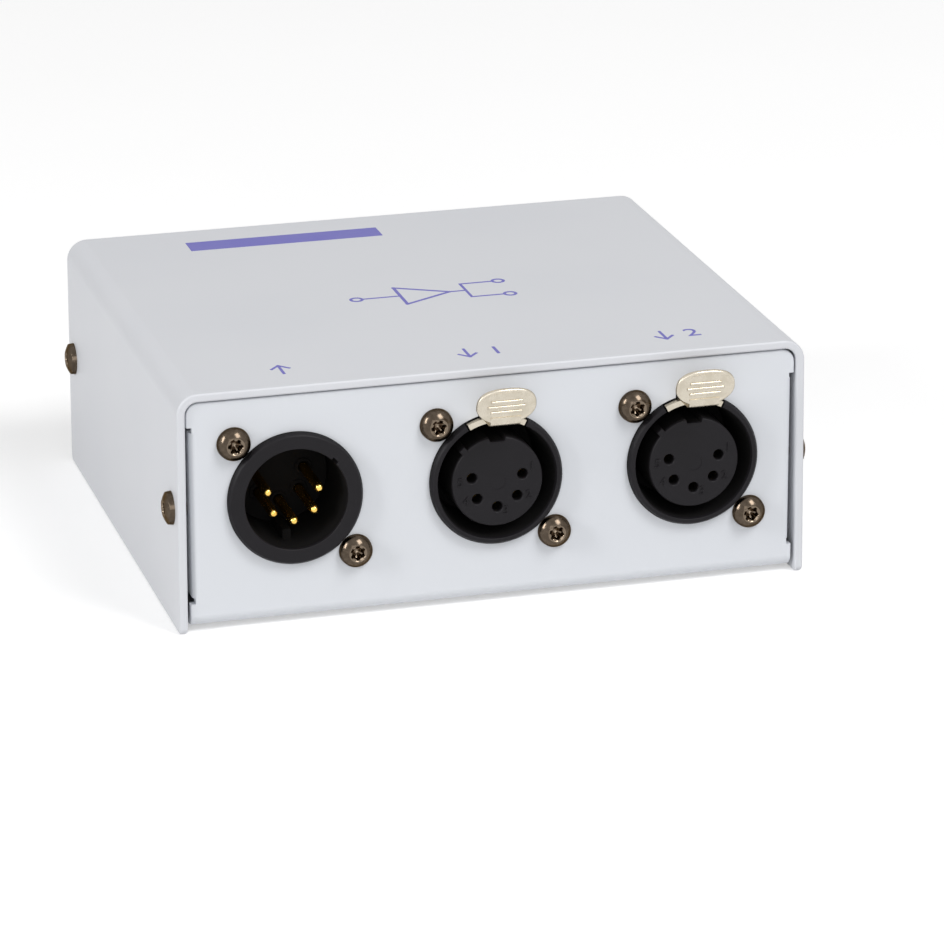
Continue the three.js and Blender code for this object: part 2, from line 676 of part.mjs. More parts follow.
function makeOutputContacts(name, parent) {
  const face = insertSetback - ringReach;
  const flange = plugDepth - ringReach;
  const seat = flange + insertSeat;
  const back = seat + insertBossLength;
  const nose = [[0, face], [insertRadius, face], [insertRadius, flange + overrun], [0, flange + overrun]];
  const disc = [[0, flange], [plugBore - insertGap, flange], [plugBore - insertGap, seat]];
  disc.push([insertBackRadius - insertGap, seat], [insertBackRadius - insertGap, back], [0, back]);
  const keyway = new THREE.Shape();
  const keywayTop = insertRadius - insertDrop;
  keyway.moveTo(-keywayInnerWidth / 2, keywayTop - keywayDepth);
  keyway.lineTo(keywayInnerWidth / 2, keywayTop - keywayDepth);
  keyway.lineTo(keywayOuterWidth / 2, keywayTop);
  keyway.lineTo(keywayOuterWidth / 2, keywayTop + overrun);
  keyway.lineTo(-keywayOuterWidth / 2, keywayTop + overrun);
  keyway.lineTo(-keywayOuterWidth / 2, keywayTop);
  const rib = new THREE.BoxGeometry(insertRibHeight * 2, flange - face, insertRibWidth);
  rib.translate(insertRadius, (flange + face) / 2, 0);
  rib.rotateY(-THREE.MathUtils.degToRad(insertRibAngle));
  rib.translate(0, 0, -insertDrop);
  let insert = turned(nose, insertFacets, [0, -insertDrop]).add(toSolid(rib));
  insert = insert.subtract(slab(keyway, alongY, face - overrun, flange)).add(turned(disc, insertFacets));
  const start = face + holeLip;
  contactPlaces(1).forEach(([x, z], index) => {
    const centre = [x, z - insertDrop];
    insert = insert.subtract(rod(holeRadius, alongY, face - overrun, back, centre, rodFacets));
    const cavity = contactRadius + contactGap;
    insert = insert.subtract(rod(cavity, alongY, start, back + overrun, centre, rodFacets));
    const mouth = start + contactGap;
    const end = mouth + contactLength;
    const tube = [[0, end], [contactBore, end], [contactBore, mouth], [contactRadius, mouth]];
    tube.push([contactRadius, end + contactBack], [0, end + contactBack]);
    const contact = turned(tube, rodFacets, centre).add(contactLeg(centre, end + contactBack / 2, index));
    piece(`${name}_contact_${index + 1}`, contact, gold, parent);
  });
  piece(`${name}_insert`, insert, blackPlastic, parent);
}

// The latch strip from the side: flat over the connector, then bent up into the tab's stem.
function stripOutline(stem) {
  const centre = [neckBend - ringReach - neckReach, stripHeight + neckBend];
  const stop = THREE.MathUtils.degToRad(tabLean - 180);
  const lean = THREE.MathUtils.degToRad(tabLean);
  const inner = neckBend - stripThickness;
  const tip = (radius) => [
    centre[0] + radius * Math.cos(stop) - stem * Math.sin(lean),
    centre[1] + radius * Math.sin(stop) + stem * Math.cos(lean),
  ];
  const shape = new THREE.Shape();
  shape.moveTo(pivotDepth + stripTail, stripHeight);
  shape.lineTo(centre[0], stripHeight);
  shape.absarc(...centre, neckBend, -Math.PI / 2, stop, true);
  shape.lineTo(...tip(neckBend));
  shape.lineTo(...tip(inner));
  shape.absarc(...centre, inner, stop, -Math.PI / 2, false);
  shape.lineTo(pivotDepth + stripTail, stripTop);
  return shape;
}

// Latch: an oval tab on a strip that rocks on a cross pin, with an arch in the ring and a hook.
function makeLatch(name, parent) {
  const half = stripWidth / 2;
  let latch = slab(stripOutline(tabRise + tabHeight / 2), alongX, -half, half);
  const arch = archOutline(archHalfAngle, archInner, archOuter);
  latch = latch.add(slab(arch, alongY, -ringReach, archDepth - ringReach, archFacets));
  const hookFront = hookSetback - ringReach;
  const hookRange = [hookFront, hookFront + hookLength];
  latch = latch.add(block(around(0, hookWidth / 2), hookRange, [stripHeight - hookReach, stripTop]));
  const pivot = [pivotDepth, pivotHeight];
  const pin = rod(pivotRadius, alongX, -pivotHalfLength, pivotHalfLength, pivot, rodFacets);
  const lean = THREE.MathUtils.degToRad(tabLean);
  const middle = neckBend - stripThickness / 2;
  const oval = new THREE.Shape();
  oval.absellipse(0, tabRise + tabHeight / 2, tabWidth / 2, tabHeight / 2, 0, Math.PI * 2);
  const tab = new THREE.ExtrudeGeometry(oval, {
    depth: stripThickness, bevelEnabled: false, curveSegments: insertFacets / 2,
  });
  tab.translate(0, 0, -stripThickness / 2);
  tab.applyMatrix4(alongY);
  tab.rotateX(lean);
  tab.translate(
    0,
    neckBend - ringReach - neckReach - middle * Math.cos(lean),
    stripHeight + neckBend - middle * Math.sin(lean),
  );
  piece(`${name}_latch`, latch.add(pin).add(toSolid(tab)), nickel, parent);
}

// A torsion spring on the latch's pin, with its free leg bent over the strip.
function makeLatchSpring(name, parent) {
  const rest = stripTop + springGap + springWire;
  const top = pivotHeight + springRadius;
  const points = [
    new THREE.Vector3(stripWidth / 4, pivotDepth - springReach, rest),
    new THREE.Vector3(stripWidth / 2, pivotDepth - (springReach + springRadius) / 2, rest + springLift / 2),
    new THREE.Vector3(springStart, pivotDepth - springLift, top),
  ];
  const stepsPerTurn = 8;
  for (let i = 0; i <= springTurns * stepsPerTurn; i += 1) {
    const turn = i / stepsPerTurn;
    const angle = Math.PI / 2 - turn * Math.PI * 2;
    const y = pivotDepth + springRadius * Math.cos(angle);
    const z = pivotHeight + springRadius * Math.sin(angle);
    points.push(new THREE.Vector3(springStart + springPitch * turn, y, z));
  }
  const extrudePath = new THREE.CatmullRomCurve3(points);
  const section = new THREE.Shape().absarc(0, 0, springWire, 0, Math.PI * 2);
  const geometry = new THREE.ExtrudeGeometry(section, {
    steps: points.length + 1, extrudePath, bevelEnabled: false, curveSegments: 3,
  });
  piece(`${name}_latch_spring`, toSolid(geometry), springSteel, parent);
}

function addConnectorScrews(name, parent) {
  const screw = buttonScrew(connectorScrewLength);
  screwPlaces.forEach(([x, z], index) => {
    const mesh = piece(`${name}_screw_${index === 0 ? 'upper' : 'lower'}`, screw, darkBronze, parent);
    mesh.position.set(x, 0, z);
  });
}

function makeConnectors() {
  connectorXs.forEach((x, index) => {
    const name = index === 0 ? 'input' : `output_${index}`;
    const connector = new THREE.Group();
    connector.position.set(x, panelFront, rowHeight);
    model.add(connector);
    if (index === 0) {
      makeInputShell(connector);
      makeInputContacts(connector);
    } else {
      makeOutputShell(name, connector);
      makeOutputContacts(name, connector);
      makeLatch(name, connector);
      makeLatchSpring(name, connector);
    }
    addConnectorScrews(name, connector);
  });
}

// Board: carried by the connectors' bodies in front and by two posts behind.
function makeBoard() {
  let board = block(around(0, boardHalf), [boardFront, boardRear], [boardBottom, boardTop]);
  const drill = [boardBottom - overrun, boardTop + overrun];
  connectorXs.forEach((x, connector) => {
    contactPlaces(connector === 0 ? -1 : 1).forEach(([dx], index) => {
      const centre = [x + dx, panelFront + legRow(index)];
      board = board.subtract(rod(legHoleRadius, alongZ, ...drill, centre, legHoleFacets));
    });
  });
  for (const [x] of bladePlaces) {
    board = board.subtract(rod(legHoleRadius, alongZ, ...drill, [inletX + x, bladeLegY], legHoleFacets));
  }
  for (const side of [-1, 1]) {
    board = board.subtract(rod(screwRadius + shankGap, alongZ, ...drill, [side * postX, postY]));
  }
  piece('circuit_board', board, boardGreen);
}

function makePosts() {
  const bore = screwRadius + threadGap;
  const screw = buttonScrew(boardScrewLength);
  for (const [side, sideName] of [[-1, 'left'], [1, 'right']]) {
    let post = slab(regularOutline(6, postFlats), alongZ, floorTop, boardBottom);
    post = post.add(rod(spigotRadius, alongZ, coverDrop, floorTop + overrun, [0, 0]));
    post = post.subtract(rod(bore, alongZ, coverDrop - overrun, boardBottom + overrun, [0, 0]));
    piece(`board_post_${sideName}`, post, nickel).position.set(side * postX, postY, 0);
    const mesh = piece(`board_screw_${sideName}`, screw, darkBronze);
    mesh.rotation.x = -Math.PI / 2;
    mesh.position.set(side * postX, postY, boardTop);
  }
}

// Mains inlet: a flanged socket in the rear panel that stands on the board, with three blades.
function makeInlet() {
  const inlet = new THREE.Group();
  inlet.position.set(inletX, panelRear, inletZ);
  model.add(inlet);
  const rise = inletFlangeHeight / 2;
  const flange = roundedPlate(inletFlangeWidth / 2, -rise, rise, inletFlangeCorner);
  let body = slab(flange, alongY, 0, inletFlangeThickness);
  body = body.add(block(around(0, inletWidth / 2), [-inletDepth, overrun], around(0, inletHeight / 2)));
  body = body.add(block(around(0, inletWidth / 2), [-inletDepth, -sheet], [-inletAboveBoard, 0]));
  const recess = new THREE.Shape();
  const wide = recessWidth / 2;
  const high = recessHeight / 2;
  recess.moveTo(-wide, -high);
  recess.lineTo(wide, -high);
  recess.lineTo(wide, high - recessChamfer);
  recess.lineTo(wide - recessChamfer, high);
  recess.lineTo(-wide + recessChamfer, high);
  recess.lineTo(-wide, high - recessChamfer);
  const floor = inletFlangeThickness - recessDepth;
  body = body.subtract(slab(recess, alongY, floor, inletFlangeThickness + overrun));
  for (const [x, z] of bladePlaces) {
    const slot = block(
      around(x, bladeThickness / 2 + bladeGap),
      [-inletDepth - overrun, floor + overrun],
      around(z, bladeHeight / 2 + bladeGap),
    );
    body = body.subtract(slot);
  }
  const screw = buttonScrew(inletScrewLength);
  let nut = slab(regularOutline(6, nutFlats), alongY, -sheet - nutThickness, -sheet);
  const nutBore = [-sheet - nutThickness - overrun, overrun];
  nut = nut.subtract(rod(screwRadius + threadGap, alongY, ...nutBore, [0, 0]));
  for (const [side, sideName] of [[-1, 'left'], [1, 'right']]) {
    const centre = [side * inletScrewOffset, 0];
    const drill = [-overrun, inletFlangeThickness + overrun];
    body = body.subtract(rod(screwRadius + shankGap, alongY, ...drill, centre));
    const mesh = piece(`inlet_screw_${sideName}`, screw, darkBronze, inlet);
    mesh.rotation.z = Math.PI;
    mesh.position.set(side * inletScrewOffset, inletFlangeThickness, 0);
    piece(`inlet_nut_${sideName}`, nut, nickel, inlet).position.x = side * inletScrewOffset;
  }
  piece('mains_inlet', body, blackPlastic, inlet);
  bladePlaces.forEach(([x, z], index) => {
    const rear = bladeLegY - panelRear;
    const half = legWidth / 2;
    let blade = block(
      around(x, bladeThickness / 2),
      [-inletDepth - bladeRoot, inletFlangeThickness - bladeSetback],
      around(z, bladeHeight / 2),
    );
    blade = blade.add(block(around(x, half), [rear - half, -inletDepth], around(z, half)));
    blade = blade.add(block(around(x, half), around(rear, half), [boardBottom - legBelow - inletZ, z]));
    piece(`inlet_blade_${['live', 'neutral', 'earth'][index]}`, blade, nickel, inlet);
  });
}

// A chip in a moulded body on bent legs that stand on the board.
function makeChip(name, [x, y], length, width, legs) {
  const low = boardTop + chipLift;
  let chip = block(around(x, length / 2), around(y, width / 2), [low, low + chipHeight]);
  for (let i = 0; i < legs; i += 1) {
    const along = x + (i - (legs - 1) / 2) * chipLegPitch;
    for (const side of [-1, 1]) {
      const out = ordered(y + side * width / 2, y + side * (width / 2 + chipLegReach));
      chip = chip.add(block(around(along, chipLegWidth / 2), out, [boardTop, low + chipHeight / 2]));
    }
  }
  piece(name, chip, chipBlack);
}

function makeTransformer() {
  const high = transformerLength / 2;
  const outline = roundedPlate(transformerWidth / 2, -high, high, transformerCorner);
  const cast = slab(outline, alongZ, boardTop, boardTop + transformerHeight);
  piece('transformer', cast, pottingBlue).position.set(transformerX, transformerY, 0);
}

function makeFuse() {
  const centre = boardTop + fuseBaseHeight + fuseCapRadius;
  const at = [fuseY, centre];
  const end = inletX + fuseLength / 2;
  const start = inletX - fuseLength / 2;
  let fuse = rod(fuseRadius, alongX, start, end, at);
  fuse = fuse.add(rod(fuseCapRadius, alongX, start, start + fuseCapLength, at));
  fuse = fuse.add(rod(fuseCapRadius, alongX, end - fuseCapLength, end, at));
  piece('fuse', fuse, glass);
  const wide = around(fuseY, fuseBaseWidth / 2);
  let holder = block([start, end], wide, [boardTop, boardTop + fuseBaseHeight]);
  for (const from of [start, end - fuseClipLength]) {
    const clipTop = boardTop + fuseBaseHeight + fuseClipRise;
    holder = holder.add(block([from, from + fuseClipLength], wide, [boardTop, clipTop]));
  }
  holder = holder.subtract(rod(fuseCapRadius + pinGap, alongX, start - overrun, end + overrun, at));
  piece('fuse_holder', holder, chipBlack);
}

function makeCapacitor() {
  const top = boardTop + capacitorHeight;
  const rim = capacitorRadius - capacitorBevel;
  const profile = [[0, boardTop], [rim, boardTop], [capacitorRadius, boardTop + capacitorBevel]];
  profile.push([capacitorRadius, top - capacitorBevel], [rim, top], [0, top]);
  piece('smoothing_capacitor', turnedUpright(profile, insertFacets, [columnX, capacitorY]), canSleeve);
}

// Regulator: a moulded body on three legs, with a drilled metal tab behind it.
function makeRegulator() {
  const low = boardTop + regulatorLift;
  const top = low + regulatorHeight;
  const wide = around(columnX, regulatorWidth / 2);
  let regulator = block(wide, [regulatorY, regulatorY + regulatorThickness], [low, top]);
  const back = regulatorY + regulatorThickness;
  const tabDepth = [back - heatTabThickness, back];
  regulator = regulator.add(block(wide, tabDepth, [low, top + heatTabHeight]));
  const hole = [columnX, top + heatTabHeight / 2];
  const drill = rod(heatTabHoleRadius, alongY, regulatorY, back + overrun, hole, rodFacets);
  regulator = regulator.subtract(drill);
  for (const step of [-1, 0, 1]) {
    const x = columnX + step * chipLegPitch;
    const depth = around(regulatorY + regulatorThickness / 2, chipLegWidth / 2);
    regulator = regulator.add(block(around(x, legWidth / 2), depth, [boardTop, low + overrun]));
  }
  piece('voltage_regulator', regulator, chipBlack);
}

function makeBoardParts() {
  makeTransformer();
  makeFuse();
  makeCapacitor();
  makeRegulator();
  makeChip('bridge_rectifier', [columnX, rectifierY], rectifierLength, rectifierWidth, 2);
  const legsEnd = panelFront + legRow(0) + legWidth / 2;
  const chipRowY = (legsEnd + transformerY - transformerLength / 2) / 2;
  makeChip('line_receiver', [-rowPitch, chipRowY], chipLength, chipWidth, 4);
  makeChip('signal_isolator', [-rowPitch / 2, chipRowY], chipLength, chipWidth, 4);
  makeChip('line_driver_1', [0, chipRowY], chipLength, chipWidth, 4);
  makeChip('line_driver_2', [rowPitch, chipRowY], chipLength, chipWidth, 4);
}

makeCover();
makeChassis();
makeCoverScrews();
makeConnectors();
makeBoard();
makePosts();
makeInlet();
makeBoardParts();

// The origin lies under the middle of the whole splitter, at the level of the cover's feet.
const bounds = new THREE.Box3().setFromObject(model);
model.position.y = -(bounds.min.y + bounds.max.y) / 2;

export default model;
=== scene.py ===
# %% [markdown]
# # Dressing a small signal splitter
# The solids of a folded steel box with three round connectors arrive already fitted together.
# This lesson gives every solid that shows a finer shape, and every one of them a finish. Nothing
# is moved: a new piece is made where the solid is, and then it rides on the same body as the
# solid does.

# %% Load the solids
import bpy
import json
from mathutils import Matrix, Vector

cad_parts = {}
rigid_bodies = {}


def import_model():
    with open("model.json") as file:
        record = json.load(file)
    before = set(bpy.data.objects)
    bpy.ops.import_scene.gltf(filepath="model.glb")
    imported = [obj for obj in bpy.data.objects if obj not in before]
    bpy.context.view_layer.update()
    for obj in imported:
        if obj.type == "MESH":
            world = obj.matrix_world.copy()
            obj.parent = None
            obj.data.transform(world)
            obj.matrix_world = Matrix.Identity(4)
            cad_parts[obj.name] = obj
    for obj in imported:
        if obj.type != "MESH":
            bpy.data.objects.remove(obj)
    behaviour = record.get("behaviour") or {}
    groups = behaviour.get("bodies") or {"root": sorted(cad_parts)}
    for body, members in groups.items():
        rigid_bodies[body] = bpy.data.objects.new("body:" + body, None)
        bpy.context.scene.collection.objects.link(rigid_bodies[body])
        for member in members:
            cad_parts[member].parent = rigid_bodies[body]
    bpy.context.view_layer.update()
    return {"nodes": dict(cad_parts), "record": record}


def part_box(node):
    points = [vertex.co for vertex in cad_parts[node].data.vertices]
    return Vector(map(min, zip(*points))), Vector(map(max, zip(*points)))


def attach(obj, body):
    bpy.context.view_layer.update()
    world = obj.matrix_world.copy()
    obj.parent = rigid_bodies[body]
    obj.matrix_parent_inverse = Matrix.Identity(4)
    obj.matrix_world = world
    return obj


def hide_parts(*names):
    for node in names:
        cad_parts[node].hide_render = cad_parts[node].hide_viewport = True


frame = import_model()

# %% [markdown]
# Folded sheet, rings and screws are millimetres in size, and boolean cuts and merges work badly
# on numbers as small as 0.0001. So each piece is shaped in millimetres, and only the finished
# mesh is brought to metres. The solids say where each piece belongs, and so only their corners
# are read.

# %% Units and the places that the solids give
import json
from math import atan2, copysign, cos, pi, radians, sin, tan

import bmesh
import bpy
from mathutils import Matrix, Vector

MM = 0.001


def box_mm(node):
    """A solid's lowest and highest corner, in millimetres."""
    return [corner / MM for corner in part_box(node)]


def middle_mm(node):
    """The middle of a solid's box, in millimetres."""
    return [(low + high) / 2 for low, high in zip(*box_mm(node))]


cover_low, cover_high = box_mm("top_cover")
chassis_low, chassis_high = box_mm("chassis")
SHEET = 1.5
FLANGE_HALF = 13.2
CONNECTORS = ["input", "output_1", "output_2"]
OUTPUTS = CONNECTORS[1:]
SIDES = ("left", "right")
panel_front = chassis_low.y
row_z = box_mm("input_shell")[1].z - FLANGE_HALF
row_x = {name: middle_mm(f"{name}_shell")[0] for name in CONNECTORS}
print("row height", round(row_z, 2), "row places", [round(x, 2) for x in row_x.values()])

# %% [markdown]
# The camera stands where the photographer's did. Its angle, distance and lens were worked out
# from the connectors' rings and screws, whose real places are known, so it is made first and
# never moved. A long lens from 0.8 m away keeps the box's edges almost parallel.

# %% Camera
CAMERA_ANGLES = (-15.54, 19.24, -0.29)
CAMERA_TARGET = Vector((-4.285, -45.533, 24.232)) * MM
CAMERA_DISTANCE = 0.79005
IMAGE_SIDE = 944
FOCAL_PIXELS = 4669.36
SENSOR = 36

azimuth, elevation, roll = (radians(angle) for angle in CAMERA_ANGLES)
back = Vector((sin(azimuth) * cos(elevation), -cos(azimuth) * cos(elevation), sin(elevation)))
level = Vector((cos(azimuth), sin(azimuth), 0))
upright = back.cross(level)
right = cos(roll) * level + sin(roll) * upright
above = cos(roll) * upright - sin(roll) * level
lens = bpy.data.cameras.new("camera")
lens.sensor_width = SENSOR
lens.lens = FOCAL_PIXELS / IMAGE_SIDE * SENSOR
camera = bpy.data.objects.new("camera", lens)
bpy.context.scene.collection.objects.link(camera)
camera.matrix_world = Matrix((right, above, back)).transposed().to_4x4()
camera.location = CAMERA_TARGET + back * CAMERA_DISTANCE
bpy.context.scene.camera = camera
print("lens", round(lens.lens, 1), "mm")

# %% [markdown]
# A material and a geometry tree are both sums of small nodes, and wiring sums by hand hides what
# they say. So one class wraps a socket and takes over Python's signs: `2 * mask` adds a Math
# node. Every other node comes from one method that takes its type, its settings and its sockets.

# %% Nodes as expressions
class Wire:
    """A socket that Python's own signs can calculate with."""

    def __init__(self, tree, socket):
        self.tree, self.socket = tree, socket

    def maths(self, operation, *others):
        return self.tree.node("ShaderNodeMath", {"operation": operation}, [self, *others])

    def out(self, name):
        return Wire(self.tree, self.socket.node.outputs[name])

    def __add__(self, other):
        return self.maths("ADD", other)

    def __sub__(self, other):
        return self.maths("SUBTRACT", other)

    def __mul__(self, other):
        return self.maths("MULTIPLY", other)

    def __truediv__(self, other):
        return self.maths("DIVIDE", other)

    __radd__, __rmul__ = __add__, __mul__


class Tree:
    """A node tree that grows by one call for each node."""

    def __init__(self, group):
        self.group = group

    def node(self, kind, settings=None, values=(), output=0):
        made = self.group.nodes.new(kind)
        for name, value in (settings or {}).items():
            setattr(made, name, value)
        for place, value in values.items() if isinstance(values, dict) else enumerate(values):
            for one in value if isinstance(value, list) else [value]:
                if isinstance(one, Wire):
                    self.group.links.new(one.socket, made.inputs[place])
                else:
                    made.inputs[place].default_value = one
        return Wire(self, made.outputs[output])


print("nodes can be written as sums")

# %% [markdown]
# A finish is a Principled shader with patterns behind its colour, roughness and bump. The
# patterns read Object coordinates, so they stay on the piece when it moves, and their sizes are
# given in millimetres on the real thing. What is the same all over is set on the shader itself.

# %% A finish
class Finish(Tree):
    """A material: uniform values go to the shader at once, and patterns are wired by `wear`."""

    def __init__(self, name, **uniform):
        self.material = bpy.data.materials.new(name)
        self.material.use_nodes = True
        super().__init__(self.material.node_tree)
        self.shader = self.group.nodes["Principled BSDF"]
        self.place = self.node("ShaderNodeTexCoord", output="Object")
        for socket, value in uniform.items():
            self.shader.inputs[socket.replace("_", " ")].default_value = value

    def grain(self, size, detail=2.0, roughness=0.5, stretch=(1, 1, 1)):
        """Soft noise from 0 to 1 whose blobs are `size` millimetres across."""
        place = self.node("ShaderNodeMapping", values={"Vector": self.place, "Scale": stretch})
        return self.node("ShaderNodeTexNoise", values={
            "Vector": place, "Scale": 1 / (size * MM), "Detail": detail, "Roughness": roughness,
        })

    def pits(self, size):
        """Distance to the nearest of the points strewn `size` millimetres apart."""
        return self.node("ShaderNodeTexVoronoi", values={
            "Vector": self.place, "Scale": 1 / (size * MM),
        })

    def mask(self, wire, low, high):
        """0 below `low`, 1 above `high`, and a smooth step between them."""
        return self.node("ShaderNodeMapRange", {"interpolation_type": "SMOOTHSTEP"}, {
            "Value": wire, "From Min": low, "From Max": high,
        })

    def blend(self, mask, colour, other):
        """From `colour` to `other` as the mask rises; each is three numbers or a wire."""
        first, last = (end if isinstance(end, Wire) else (*end, 1) for end in (colour, other))
        sockets = {0: mask, 6: first, 7: last}
        return self.node("ShaderNodeMix", {"data_type": "RGBA"}, sockets, output=2)

    def wear(self, colour=None, roughness=None, height=None, depth=0.0):
        """Wires the patterns: `depth` is the relief's height in millimetres."""
        for socket, wire in (("Base Color", colour), ("Roughness", roughness)):
            if wire is not None:
                self.group.links.new(wire.socket, self.shader.inputs[socket])
        if height is not None:
            relief = self.node("ShaderNodeBump", values={"Height": height, "Distance": depth * MM})
            self.group.links.new(relief.socket, self.shader.inputs["Normal"])
        return self.material


# %% [markdown]
# The steel is powder coated. Baked powder flows into a satin skin with a faint orange peel about
# a millimetre across, far too shallow to see from the front but plain where light rakes it. The
# chassis's coat is made a little brighter than the cover's: painted light for the front panel,
# which faces the lamps more than the cover's top and sides do.

# %% Powder coat
def powder_coat(name, colour, shade):
    paint = Finish(name, Specular_IOR_Level=0.45)
    peel, fine, cloud = paint.grain(1.1, 1.5), paint.grain(0.22, 2.0), paint.grain(34.0, 2.0)
    return paint.wear(
        colour=paint.blend(paint.mask(cloud, 0.35, 0.7), colour, shade),
        roughness=0.40 + 0.05 * cloud + 0.04 * fine,
        height=0.8 * peel + 0.2 * fine,
        depth=0.009,
    )


COVER_PAINT = powder_coat("cover_coat", (0.700, 0.712, 0.745), (0.688, 0.701, 0.737))
# a little brighter than the cover's coat: painted light for the front panel
CHASSIS_PAINT = powder_coat("chassis_coat", (0.720, 0.741, 0.778), (0.710, 0.732, 0.772))
print("paints:", COVER_PAINT.name, CHASSIS_PAINT.name)

# %% [markdown]
# The connectors are glass-filled black nylon, moulded in a tool with a fine spark-eroded surface.
# It isn't quite black: it scatters a little grey, and tiny pits break up its shine. Deep inside
# the rings a mask along Y paints shade: the colour turns darker there, standing in for the shadow
# in the bores. The wall there is also rougher, where the tool's cores aren't polished.

# %% Moulded black plastic
def moulded_black(name, colour, rough, shade_from=None):
    """The last argument is the Y, in millimetres, behind which the moulding is rougher and its
    colour is painted darker as shade.
    """
    plastic = Finish(name, Specular_IOR_Level=0.17)
    spark, flow = plastic.grain(0.13, 2.0), plastic.grain(6.0, 2.0, stretch=(1, 1, 2))
    lighter = tuple(1.25 * channel for channel in colour)
    shade = plastic.blend(flow, colour, lighter)
    dull = rough + 0.10 * flow + 0.06 * spark
    if shade_from is not None:
        along = plastic.node("ShaderNodeSeparateXYZ", values=[plastic.place]).out("Y")
        painted_shade = plastic.mask(along, shade_from * MM, (shade_from + 0.9) * MM)
        # painted shade: the colour turns darker deep inside the rings
        shade = plastic.blend(painted_shade, shade, (0.0030, 0.0026, 0.0026))
        dull = dull + 0.35 * painted_shade
    return plastic.wear(colour=shade, roughness=dull, height=spark, depth=0.006)


RESIN = (0.0092, 0.0083, 0.0100)
CORE_POLISH = moulded_black("core_polish", RESIN, 0.08)
# behind this Y the black is painted darker, as shade in the bores
CONNECTOR_BLACK = moulded_black("black_moulding", RESIN, 0.34, panel_front - 1.12)
INLET_BLACK = moulded_black("inlet_moulding", (0.0095, 0.0088, 0.0100), 0.38)
CHIP_BLACK = moulded_black("chip_epoxy", (0.016, 0.016, 0.017), 0.55)

# %% [markdown]
# The metals share one recipe. Plating follows the base metal's fine grain, so its shine varies in
# patches, and handling leaves a faint haze. Only the colours, the patch size and the roughness
# differ: dark bronze screws, cream nickel latches, gold contacts, spring steel and tin plate. The
# screws' sockets and the rims round them are painted a brighter bronze where an attribute of the
# mesh says so: a painted highlight for the glints there.

# %% Metals
def plated(name, colour, haze, rough, patch, edge=(1, 1, 1), depth=0.002, rubbed=None):
    """`edge` tints a grazing view. The last argument is a brighter colour, a painted highlight,
    put where the mesh's attribute of the same name is 1.
    """
    metal = Finish(name, Metallic=1.0, Specular_Tint=(*edge, 1))
    cloud, fine = metal.grain(patch, 3.0, 0.6), metal.grain(0.09, 2.0)
    shade = metal.blend(metal.mask(cloud, 0.35, 0.68), colour, haze)
    # painted highlight: a brighter bronze where the mesh is marked
    if rubbed is not None:
        glint_mask = metal.node("ShaderNodeAttribute", {"attribute_name": "rubbed"}, output="Fac")
        shade = metal.blend(glint_mask, shade, rubbed)
    return metal.wear(
        colour=shade,
        roughness=rough + 0.10 * cloud + 0.05 * fine,
        height=fine,
        depth=depth,
    )


# the last colour is a painted highlight in the sockets and on their rims
SCREW_BRONZE = plated("bronze_plating", (0.078, 0.060, 0.044), (0.104, 0.081, 0.061), 0.11, 0.8,
                      edge=(0.50, 0.44, 0.38), rubbed=(0.190, 0.150, 0.112))
LATCH_NICKEL = plated("nickel_plating", (0.605, 0.555, 0.465), (0.550, 0.500, 0.410), 0.20, 1.5,
                      edge=(0.55, 0.50, 0.42), depth=0.004)
CONTACT_GOLD = plated("gold_plating", (0.950, 0.640, 0.170), (0.860, 0.540, 0.120), 0.14, 1.2,
                      edge=(0.80, 0.45, 0.10))
SPRING_STEEL = plated("drawn_steel", (0.560, 0.560, 0.550), (0.420, 0.415, 0.400), 0.25, 0.6)
TIN_PLATE = plated("tin_plating", (0.740, 0.735, 0.710), (0.620, 0.615, 0.590), 0.28, 1.0)
print("metals are ready")

# %% [markdown]
# Inside the box the board is glass laminate under a green lacquer, with copper tracks that show
# as a lighter green. Noise read at stepped places and cut off by a mask stands for the tracks.
# The other parts are a potted transformer, a capacitor in a sleeve, and a glass fuse. The violet
# ink is made by the same recipe as the resins, because it is one.

# %% Inside finishes
def laminate():
    board = Finish("green_laminate", Coat_Weight=0.35, Coat_Roughness=0.12)
    weave = board.pits(0.45)
    stepped = board.node("ShaderNodeVectorMath", {"operation": "SNAP"}, [
        board.place, (0.0035, 0.0035, 1),
    ])
    patches = board.node("ShaderNodeTexNoise", values={"Vector": stepped, "Scale": 190.0})
    track = board.mask(patches, 0.5, 0.52)
    return board.wear(
        colour=board.blend(track, (0.012, 0.085, 0.036), (0.030, 0.170, 0.070)),
        roughness=0.34 + 0.12 * weave,
        height=0.8 * track + 0.2 * weave,
        depth=0.03,
    )


def cast_resin(name, colour, other, rough):
    resin = Finish(name, Specular_IOR_Level=0.4)
    cloud, fine = resin.grain(5.0, 3.0), resin.grain(0.3, 2.0)
    return resin.wear(
        colour=resin.blend(cloud, colour, other),
        roughness=rough + 0.15 * cloud,
        height=0.5 * cloud + 0.5 * fine,
        depth=0.01,
    )


BOARD_LAMINATE = laminate()
POTTING = cast_resin("potting_resin", (0.020, 0.045, 0.120), (0.030, 0.060, 0.150), 0.35)
CAN_SLEEVE = cast_resin("heat_shrink", (0.014, 0.024, 0.070), (0.020, 0.032, 0.085), 0.25)
FUSE_GLASS = cast_resin("fuse_tube", (0.520, 0.580, 0.560), (0.600, 0.650, 0.640), 0.08)
LABEL_INK = cast_resin("violet_ink", (0.121, 0.113, 0.462), (0.139, 0.131, 0.498), 0.38)
print("inside finishes and ink are ready")

# %% [markdown]
# Most pieces are outlines given depth, profiles turned round an axis, or rings joined one to the
# next. All three are one function, `loft`, which joins rings of points and caps the ends. Of its
# helpers one merges doubled points and turns the faces outwards, and one puts what modifiers make
# into the mesh.

# %% Lofts, plates and turned pieces
def new_object(name, mesh):
    made = bpy.data.objects.new(name, mesh)
    bpy.context.scene.collection.objects.link(made)
    return made


